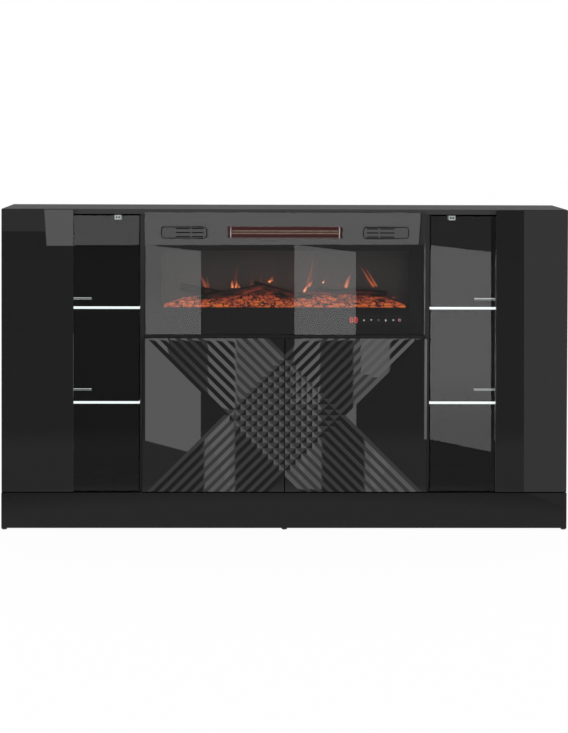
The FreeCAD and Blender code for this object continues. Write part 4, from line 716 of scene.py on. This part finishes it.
def charred_log(middle_x, middle_y, middle_z, tilt, seed):
    """Around a bowed axis, radius = the straight taper times 1 + ridges - bark cracks, where ridges are noise
    stretched along the log and cracks lie where a second noise is near 0; the ends close in uneven rings."""
    u, turn = np.meshgrid(np.linspace(0, 1, LOG_ROWS), ring_angles(LOG_COLUMNS), indexing="ij")
    side, up = np.cos(turn), np.sin(turn)
    ridge = rough_noise(stacked(u * 5, side * 2.6, up * 2.6), seed * 11, 4)
    plates = rough_noise(stacked(u * 26, side * 3.4, up * 3.4), seed * 7 + 3, 3)
    crack = np.clip(1 - np.abs(plates) / BARK_CRACK_WIDTH, 0, 1)
    radius = (LOG_BUTT + (LOG_TIP - LOG_BUTT) * u) * (1 + RIDGE_SHARE * ridge - BARK_CRACK_SHARE * crack)
    drawn_in = np.exp(-u * LOG_ROWS / END_ROWS) + np.exp((u - 1) * LOG_ROWS / END_ROWS)
    radius *= np.clip(1.02 - 0.5 * drawn_in, 0.45, 1)
    near_end = np.maximum(np.exp(-u * BREAK_FADE), np.exp((u - 1) * BREAK_FADE))
    along = LOG_LENGTH * (u - 0.5) + BREAK_LENGTH * rough_noise(stacked(u * 3, side, up), seed) * near_end
    rise = radius * up + LOG_BOW * np.sin(u * math.pi * 1.6 + seed) * np.sin(u * math.pi)
    angle = math.radians(tilt)
    points = stacked(middle_x + along * math.cos(angle) - rise * math.sin(angle), middle_y + radius * side,
                     middle_z + along * math.sin(angle) + rise * math.cos(angle))
    flat = points.reshape(-1, 3)
    ends = np.stack([points[0].mean(axis=0), points[-1].mean(axis=0)])
    first_hub, last_hub = len(flat), len(flat) + 1
    start = (LOG_ROWS - 1) * LOG_COLUMNS
    faces = grid_faces(LOG_ROWS, LOG_COLUMNS, round_columns=True)
    faces += [[first_hub, (k + 1) % LOG_COLUMNS, k] for k in range(LOG_COLUMNS)]
    faces += [[last_hub, start + k, start + (k + 1) % LOG_COLUMNS] for k in range(LOG_COLUMNS)]
    # Painted light: the red light of the coals below, on the undersides and in the cracks, fading out at the
    # left end
    below = np.clip(0.5 - 0.5 * up, 0, 1)
    from_coals = 0.62 * below ** 1.3 * np.clip(0.75 + ridge, 0, 1) * (1 - crack)
    coal_light = np.clip(from_coals + 0.5 * crack * below, 0, 1)
    coal_light *= np.clip((points[..., 0] - GLOW_STARTS) / (GLOW_FULL - GLOW_STARTS), 0, 1)
    heat = stacked(coal_light, below, crack, 1).reshape(-1, 4)
    heat = np.concatenate([heat, np.tile([0.0, 0.5, 0.0, 1.0], (2, 1))])
    return (np.concatenate([flat, ends]), faces), heat


def char_finish():
    """Burnt wood: near-black with ash-grey flecks and fine cracks, and the coals' red light painted on as
    emission by the kept glow level.
    """
    made, tree = new_finish("charred_log_resin")
    heat = kept_heat(tree)[0]
    where = place(tree, (0.35, 1, 1))
    fleck = noise(tree, where, 520, 5, 0.65)
    ash = between(tree, fleck, 0, 1, 0.52, 0.75)
    colour = blended(tree, ash, (0.004, 0.0036, 0.0034, 1), (0.018, 0.015, 0.014, 1))
    crack = between(tree, cell_edges(tree, where, 160.0), 0.0, 1.0, 0.0, 0.07)
    # Painted light of the coals, set as the emission strength
    glow = maths(tree, "MULTIPLY", heat, between(tree, noise(tree, where, 60, 3), 0.0, 1.0, 0.42, 0.62))
    show(tree, skin(tree, colour, between(tree, fleck, 0.55, 0.8), {
        SPECULAR: 0.12, "Normal": relief(tree, crack, 0.0007, 0.8), "Emission Color": (0.40, 0.060, 0.028, 1),
        "Emission Strength": glow}))
    return made


log_forms = [charred_log(*log) for log in LOGS]
add_piece("charred_logs", united([form for form, heat in log_forms]), char_finish(), ["logs"],
          heat=np.concatenate([heat for form, heat in log_forms]))


# Each flame: its foot (x, z), its tip (x, z), width at the foot, bend, brightness, and how pale its core is
FLAMES = (
    (-0.252, 0.762, -0.277, 0.815, 0.016, 0.004, 0.34, 0.1),
    (-0.244, 0.762, -0.251, 0.806, 0.010, -0.002, 0.20, 0.0),
    (-0.168, 0.7625, -0.168, 0.7905, 0.014, 0.002, 1.15, 0.55),
    (-0.157, 0.7625, -0.153, 0.7915, 0.012, -0.002, 1.0, 0.45),
    (-0.146, 0.7635, -0.150, 0.777, 0.010, 0.000, 0.75, 0.5),
    (-0.160, 0.775, -0.152, 0.855, 0.016, 0.004, 0.10, 0.0),
    (-0.108, 0.764, -0.104, 0.800, 0.016, 0.000, 0.13, 0.0),
    (-0.070, 0.762, -0.082, 0.812, 0.010, -0.003, 0.14, 0.0),
    (-0.060, 0.762, -0.052, 0.806, 0.010, 0.003, 0.13, 0.0),
    (-0.052, 0.782, -0.033, 0.790, 0.012, 0.001, 1.3, 1.2),
    (-0.046, 0.784, -0.034, 0.806, 0.016, 0.002, 0.32, 0.1),
    (0.062, 0.750, 0.080, 0.783, 0.013, 0.001, 1.25, 0.9),
    (0.078, 0.768, 0.092, 0.792, 0.012, 0.001, 0.8, 0.3),
    (0.072, 0.772, 0.100, 0.868, 0.020, 0.004, 0.16, 0.0),
    (0.122, 0.779, 0.131, 0.789, 0.008, 0.000, 1.5, 1.5),
    (0.196, 0.7635, 0.214, 0.812, 0.018, 0.002, 0.85, 0.45),
    (0.176, 0.7635, 0.172, 0.800, 0.010, 0.001, 0.12, 0.0),
    (0.288, 0.767, 0.236, 0.842, 0.011, 0.002, 0.50, 0.20),
    (0.298, 0.767, 0.254, 0.838, 0.009, 0.001, 0.42, 0.15),
    (0.290, 0.766, 0.262, 0.800, 0.020, 0.001, 0.16, 0.0),
    (0.346, 0.7325, 0.368, 0.7345, 0.004, 0.000, 0.35, 0.0),
)
FLAME_Y, FLAME_STEP = -0.0961, 0.00002
FLAME_ROWS, FLAME_COLUMNS, FLAME_THINNEST = 26, 15, 0.0004


def flame_sheets():
    """Each flame is a thin sheet: along v its middle runs from foot to tip with a sideways bow, and its half
    width is w/2 (1 - v)^0.8 (0.75 + 1.1 v (1 - v)); heat falls to nothing at its sides and tip."""
    parts, heats = [], []
    v, u = np.meshgrid(np.linspace(0, 1, FLAME_ROWS), np.linspace(-1, 1, FLAME_COLUMNS), indexing="ij")
    left = 1 - v
    body = np.clip(1 - np.abs(u) ** 2.2, 0, 1) * left ** 0.7 * np.clip(v / 0.06, 0.25, 1)
    core = np.clip(1 - np.abs(u) * 1.7, 0, 1) * np.clip(1 - v * 1.5, 0, 1)
    red = np.clip(1 - v * 0.8, 0, 1)
    for number, (x0, z0, x1, z1, width, bend, bright, pale) in enumerate(FLAMES):
        half = width / 2 * left ** 0.8 * (0.75 + 1.1 * v * left) + FLAME_THINNEST
        wave = bend * np.sin(v * math.pi * 1.5 + number)
        length = math.hypot(x1 - x0, z1 - z0)
        aside = u * half + wave * v
        parts.append((stacked(x0 + (x1 - x0) * v + (z1 - z0) / length * aside, FLAME_Y - FLAME_STEP * number,
                              z0 + (z1 - z0) * v - (x1 - x0) / length * aside),
                      grid_faces(FLAME_ROWS, FLAME_COLUMNS)))
        heats.append(stacked(body * bright, np.clip(core * pale, 0, 1), red, 1).reshape(-1, 4))
    return united(parts), np.concatenate(heats)


def flame_finish():
    """Light without a body: orange edges and a pale core by the kept heat, see-through where it is 0."""
    made, tree = new_finish("flame_light")
    heat, core, red = kept_heat(tree)
    edge = blended(tree, red, (0.62, 0.10, 0.085, 1), (1.0, 0.20, 0.055, 1))
    colour = blended(tree, core, edge, (1.0, 0.80, 0.36, 1))
    streak = from_noise(tree, noise(tree, place(tree, (1, 1, 0.25)), 420, 3), 0.55, 1.25)
    amount = maths(tree, "MULTIPLY", heat, streak, clamp=True)
    show(tree, layered(tree, amount, see_through(tree), shine(tree, colour, 1.0)))
    return made


flame_form, flame_heat = flame_sheets()
add_piece("flame_light_on_screen", flame_form, flame_finish(), heat=flame_heat)


# The control strip: a two-digit display and touch signs behind the glass

SIGN_FRONT, SIGN_BACK, SIGN_Z = -0.1817, -0.1815, 0.6677
DIGITS_X, DIGIT_WIDE, DIGIT_TALL, DIGIT_THICK, SEGMENT_GAP = (0.2122, 0.2262), 0.0080, 0.0150, 0.0022, 0.2
DOT_X, DOT_RADIUS, DOT_HOLE = 0.2983, 0.0032, 0.0008
POWER_X, POWER_RADIUS, POWER_INNER, POWER_ARC = 0.3650, 0.0044, 0.0029, (115, 425)
POWER_BAR_HALF, POWER_BAR_FOOT, POWER_BAR_TOP = 0.0006, 0.0012, 0.0050
ARC_POINTS, DROP_POINTS = 28, 40
DROP_X, DROP_WIDTH, DROP_HEIGHT = 0.3210, 0.0036, 0.0046
# Outlines of the three-sided signs: x of the sign, and its corners (x, z) about it
ARROWS = (
    (0.2518, ((-0.0036, -0.0030), (0.0036, -0.0030), (0, 0.0032))),
    (0.2751, ((-0.0036, 0.0022), (0, -0.0036), (0.0036, 0.0022))),
    (0.3449, ((-0.0034, 0), (0.0016, -0.0036), (0.0016, 0.0036))),
)
SHORT_BAR = ((0.3469, SIGN_FRONT, SIGN_Z - 0.0006), (0.3495, SIGN_BACK, SIGN_Z + 0.0006))


def figure_eight(x):
    """A seven-segment figure: bars with pointed ends along the sides of two stacked squares."""
    wide, tall = DIGIT_WIDE / 2, DIGIT_TALL / 2
    lines = ((-wide, tall, wide, tall), (wide, 0, wide, tall), (wide, -tall, wide, 0),
             (-wide, -tall, wide, -tall), (-wide, -tall, -wide, 0), (-wide, 0, -wide, tall),
             (-wide, 0, wide, 0))
    parts = []
    for x0, z0, x1, z1 in lines:
        start, end = np.array([x + x0, SIGN_Z + z0]), np.array([x + x1, SIGN_Z + z1])
        way = (end - start) / np.linalg.norm(end - start)
        across = np.array([-way[1], way[0]]) * DIGIT_THICK / 2
        start, end = start + way * DIGIT_THICK * SEGMENT_GAP, end - way * DIGIT_THICK * SEGMENT_GAP
        tip = way * DIGIT_THICK / 2
        outline = (start, start + tip - across, end - tip - across,
                   end, end - tip + across, start + tip + across)
        parts.append(plate_of(outline, SIGN_FRONT, SIGN_BACK))
    return parts


def arc_band(x, outer, inner, start, end):
    """Part of a flat ring about (x, the signs' height): short flat pieces between two arcs."""
    angle = np.radians(np.linspace(start, end, ARC_POINTS))
    out, back = ([(x + r * a, SIGN_Z + r * b) for a, b in zip(np.cos(angle), np.sin(angle))]
                 for r in (outer, inner))
    return [plate_of((back[k], out[k], out[k + 1], back[k + 1]), SIGN_FRONT, SIGN_BACK)
            for k in range(ARC_POINTS - 1)]


def flame_sign():
    """A drop: half width w sin(t) sin(t/2)^1.6 and height h cos(t), pointed at the top."""
    t = ring_angles(DROP_POINTS)
    width = DROP_WIDTH * np.sin(t) * np.sin(t / 2) ** 1.6
    return plate_of(list(zip(DROP_X - width, SIGN_Z + DROP_HEIGHT * np.cos(t))), SIGN_FRONT, SIGN_BACK)


arrows = [plate_of([(x + a, SIGN_Z + b) for a, b in corners], SIGN_FRONT, SIGN_BACK) for x, corners in ARROWS]
power_bar = block((POWER_X - POWER_BAR_HALF, SIGN_FRONT, SIGN_Z + POWER_BAR_FOOT),
                  (POWER_X + POWER_BAR_HALF, SIGN_BACK, SIGN_Z + POWER_BAR_TOP))
power_ring = arc_band(POWER_X, POWER_RADIUS, POWER_INNER, *POWER_ARC)
# Each lit piece: its parts, the name of its light, colour and level
SIGNS = {
    "display_figures": ([bar for x in DIGITS_X for bar in figure_eight(x)], "red_display_light",
                        (1, 0.10, 0.09, 1), 0.85),
    "touch_signs": (arrows + [flame_sign(), block(*SHORT_BAR)], "pale_sign_light", WHITE, 0.42),
    "touch_dot": (arc_band(DOT_X, DOT_RADIUS, DOT_HOLE, 0, 360), "dim_sign_light", WHITE, 0.10),
    "power_sign": (power_ring + [power_bar], "power_sign_light", (1, 0.42, 0.42, 1), 0.60),
}
for sign_name, (sign_parts, light_name, colour, level) in SIGNS.items():
    add_piece(sign_name, united(sign_parts), glow_finish(light_name, colour, level),
              smooth=False)


# ---------------------------------------------------------------- floor, studio and camera

def stage_piece(name, points, faces, surface, only_reflected=False):
    """Part of the studio; some of it shows in glossy surfaces alone."""
    made, mesh = mesh_of(name, (points, faces), surface)
    if only_reflected:
        made.visible_camera = made.visible_diffuse = made.visible_transmission = made.visible_shadow = False
        made.visible_volume_scatter = False


FLOOR_HALF, FLOOR_TONE, SHADING_KEPT = 40.0, 0.9, 0.05
FLOOR_SQUEEZE = 0.65
NEAR_LEVEL, MIDDLE_LEVEL, MIDDLE_FROM, MIDDLE_TO = 0.92, 0.42, 0.72, 1.15
FAR_DROP, FAR_FROM, FAR_TO = 0.12, 2.15, 2.65


def floor_finish():
    """Pale floor: white to the camera with a little of its shading kept, and in reflections bright near the
    plinth and dimmer in two steps, about one and two and a half metres away."""
    made, tree = new_finish("pale_floor")
    path = shader(tree, "LightPath").outputs
    x, y, z = axes_of(tree)
    narrow = between(tree, x, -FLOOR_SQUEEZE, FLOOR_SQUEEZE, -1, 1)
    spot = shader(tree, "CombineXYZ", {0: narrow, 1: y}).outputs[0]
    far = shader(tree, "VectorMath", {0: spot}, operation="LENGTH").outputs["Value"]
    level = maths(tree, "SUBTRACT", between(tree, far, NEAR_LEVEL, MIDDLE_LEVEL, MIDDLE_FROM, MIDDLE_TO),
                  between(tree, far, 0, FAR_DROP, FAR_FROM, FAR_TO))
    lit = shader(tree, "BsdfDiffuse", {"Color": tone(FLOOR_TONE)}).outputs[0]
    to_camera = layered(tree, SHADING_KEPT, shine(tree, WHITE, 1.0), lit)
    by_gloss = layered(tree, path["Is Glossy Ray"], lit, shine(tree, WHITE, level))
    show(tree, layered(tree, path["Is Camera Ray"], by_gloss, to_camera))
    return made


def plain_light(name, level, fade=None, one_sided=False):
    """Even white light; fade gives (low z, high z, share), where it goes to that share of the level lower
    down. A one-sided light is see-through from behind."""
    made, tree = new_finish(name)
    if fade:
        low, high, share = fade
        x, y, z = axes_of(tree)
        level = between(tree, z, level * share, level, low, high)
    light = shine(tree, WHITE, level)
    if one_sided:
        behind = shader(tree, "NewGeometry").outputs["Backfacing"]
        light = layered(tree, behind, light, see_through(tree))
    show(tree, light)
    return made


WALL_RADIUS, WALL_COLUMNS, WALL_ROWS, WALL_TOP, WALL_LEVEL = 14.0, 49, 25, 88, 0.28


def studio_wall():
    """The dim side of the studio, behind the camera: half a dome, with its points at
    r (cos e sin a, -cos e cos a, sin e)."""
    a, e = np.meshgrid(np.radians(np.linspace(-90, 90, WALL_COLUMNS)),
                       np.radians(np.linspace(0, WALL_TOP, WALL_ROWS)), indexing="ij")
    points = WALL_RADIUS * stacked(np.cos(e) * np.sin(a), -np.cos(e) * np.cos(a), np.sin(e))
    return points, grid_faces(WALL_COLUMNS, WALL_ROWS)


floor_corners = [(FLOOR_HALF * a, FLOOR_HALF * b, 0) for a, b in ((-1, -1), (1, -1), (1, 1), (-1, 1))]
stage_piece("floor", floor_corners, [(0, 1, 2, 3)], floor_finish())
stage_piece("studio_wall", *studio_wall(), plain_light("dim_studio_side", WALL_LEVEL), only_reflected=True)

# Soft boxes that stand in front of the sideboard: distance y, corners (x, z) from the upper left, clockwise
# as the camera sees them, and level
BOX_Y, NEAR_Y, HIGH_Y = -1.19, -0.60, -3.20
SOFT_BOXES = (
    ("soft_box_left", BOX_Y, ((-0.487, 0.851), (-0.287, 0.828), (-0.286, 0.093), (-0.486, 0.146)), 2.06),
    ("soft_box_middle", BOX_Y, ((0.050, 0.852), (0.272, 0.826), (0.275, 0.101), (0.052, 0.151)), 2.06),
    ("soft_box_right", BOX_Y, ((0.520, 0.853), (0.762, 0.826), (0.766, 0.101), (0.520, 0.152)), 3.3),
    ("soft_box_header", NEAR_Y, ((-0.801, 1.033), (0.465, 1.036), (0.455, 0.886), (-0.790, 0.881)), 2.2),
    ("soft_box_dim", NEAR_Y, ((0.468, 1.035), (0.699, 1.036), (0.700, 0.862), (0.460, 0.887)), 0.62),
    ("soft_box_end", NEAR_Y, ((0.806, 1.038), (1.195, 1.038), (1.200, 0.003), (0.955, 0.003), (0.811, 0.054)),
     0.80),
    ("soft_box_far_left", NEAR_Y, ((-1.145, 1.033), (-0.798, 1.034), (-0.792, 0.929), (-1.145, 0.929)), 0.58),
    ("high_box_right_near", HIGH_Y, ((2.382, 2.884), (2.876, 2.922), (2.772, 1.942), (2.293, 1.919)), 2.08),
    ("high_box_right_far", HIGH_Y, ((3.127, 2.941), (3.484, 2.970), (3.340, 1.804), (2.997, 1.788)), 2.15),
    ("high_box_left_far", HIGH_Y, ((-2.929, 2.906), (-2.755, 2.894), (-2.642, 1.761), (-2.810, 1.769)), 2.15),
    ("high_box_left_near", HIGH_Y, ((-2.094, 2.847), (-1.895, 2.833), (-1.810, 1.727), (-2.003, 1.735)), 2.1),
)
FADES = {"soft_box_left": (0.60, 0.72, 1.13), "soft_box_middle": (0.60, 0.72, 1.13),
         "soft_box_right": (0.20, 0.37, 0.78)}
for box_name, distance, corners, level in SOFT_BOXES:
    stage_piece(box_name, [(x, distance, z) for x, z in corners], [tuple(range(len(corners)))],
                plain_light(box_name + "_light", level, FADES.get(box_name)), only_reflected=True)

# Upright strips edge-on to the camera's mirror image and lit on one side, which only the slanted sides of the
# carving that face down reflect: corners (x, y, z)
LOW_STRIP_LEVEL = 2.5
LOW_STRIPS = {
    "low_strip_left_far": ((-0.472, -0.242, 0.566), (-0.475, -0.298, 0.502),
                           (-0.475, -0.297, 0.264), (-0.472, -0.241, 0.331)),
    "low_strip_left_near": ((-0.291, -0.244, 0.565), (-0.293, -0.343, 0.455),
                            (-0.293, -0.340, 0.214), (-0.291, -0.244, 0.329)),
    "low_strip_right_near": ((0.165, -0.335, 0.462), (0.162, -0.246, 0.562),
                             (0.162, -0.245, 0.344), (0.165, -0.332, 0.239)),
    "low_strip_right_far": ((0.477, -0.418, 0.364), (0.463, -0.241, 0.567),
                            (0.463, -0.240, 0.391), (0.477, -0.415, 0.241)),
}
for strip_name, corners in LOW_STRIPS.items():
    stage_piece(strip_name, corners, [(0, 1, 2, 3)],
                plain_light(strip_name + "_light", LOW_STRIP_LEVEL, one_sided=True), only_reflected=True)


def white_surroundings():
    world = bpy.data.worlds.new("white_surroundings")
    world.use_nodes = True
    background = world.node_tree.nodes["Background"]
    background.inputs["Color"].default_value = WHITE
    background.inputs["Strength"].default_value = 1.0
    bpy.context.scene.world = world


CAMERA_PLACE = (-0.12285, -7.58786, 1.31982)
CAMERA_YAW, CAMERA_PITCH, CAMERA_ROLL = 0.0160, 0.0279, 0.0030
CAMERA_LENS, CAMERA_SENSOR, CAMERA_SHIFT = 114.526, 36.0, -0.2544
CAMERA_NEAR, CAMERA_FAR = 0.1, 200.0


def turned(first, second, angle):
    """Two directions turned in their own plane, the first towards the second."""
    near, across = math.cos(angle), math.sin(angle)
    return first * near + second * across, second * near - first * across


def place_camera():
    """Seen from the front, a little left of the middle and just above the top, with a vertical shift."""
    data = bpy.data.cameras.new("camera")
    data.lens, data.sensor_width, data.shift_y = CAMERA_LENS, CAMERA_SENSOR, CAMERA_SHIFT
    data.clip_start, data.clip_end = CAMERA_NEAR, CAMERA_FAR
    camera = bpy.data.objects.new("camera", data)
    right, ahead = turned(Vector((1, 0, 0)), Vector((0, 1, 0)), -CAMERA_YAW)
    up, ahead = turned(Vector((0, 0, 1)), ahead, CAMERA_PITCH)
    right, up = turned(right, up, CAMERA_ROLL)
    facing = Matrix((right, up, -ahead)).transposed().to_4x4()
    camera.matrix_world = Matrix.Translation(CAMERA_PLACE) @ facing
    bpy.context.scene.collection.objects.link(camera)
    bpy.context.scene.camera = camera


white_surroundings()
place_camera()
bpy.context.scene.view_settings.view_transform = "Standard"
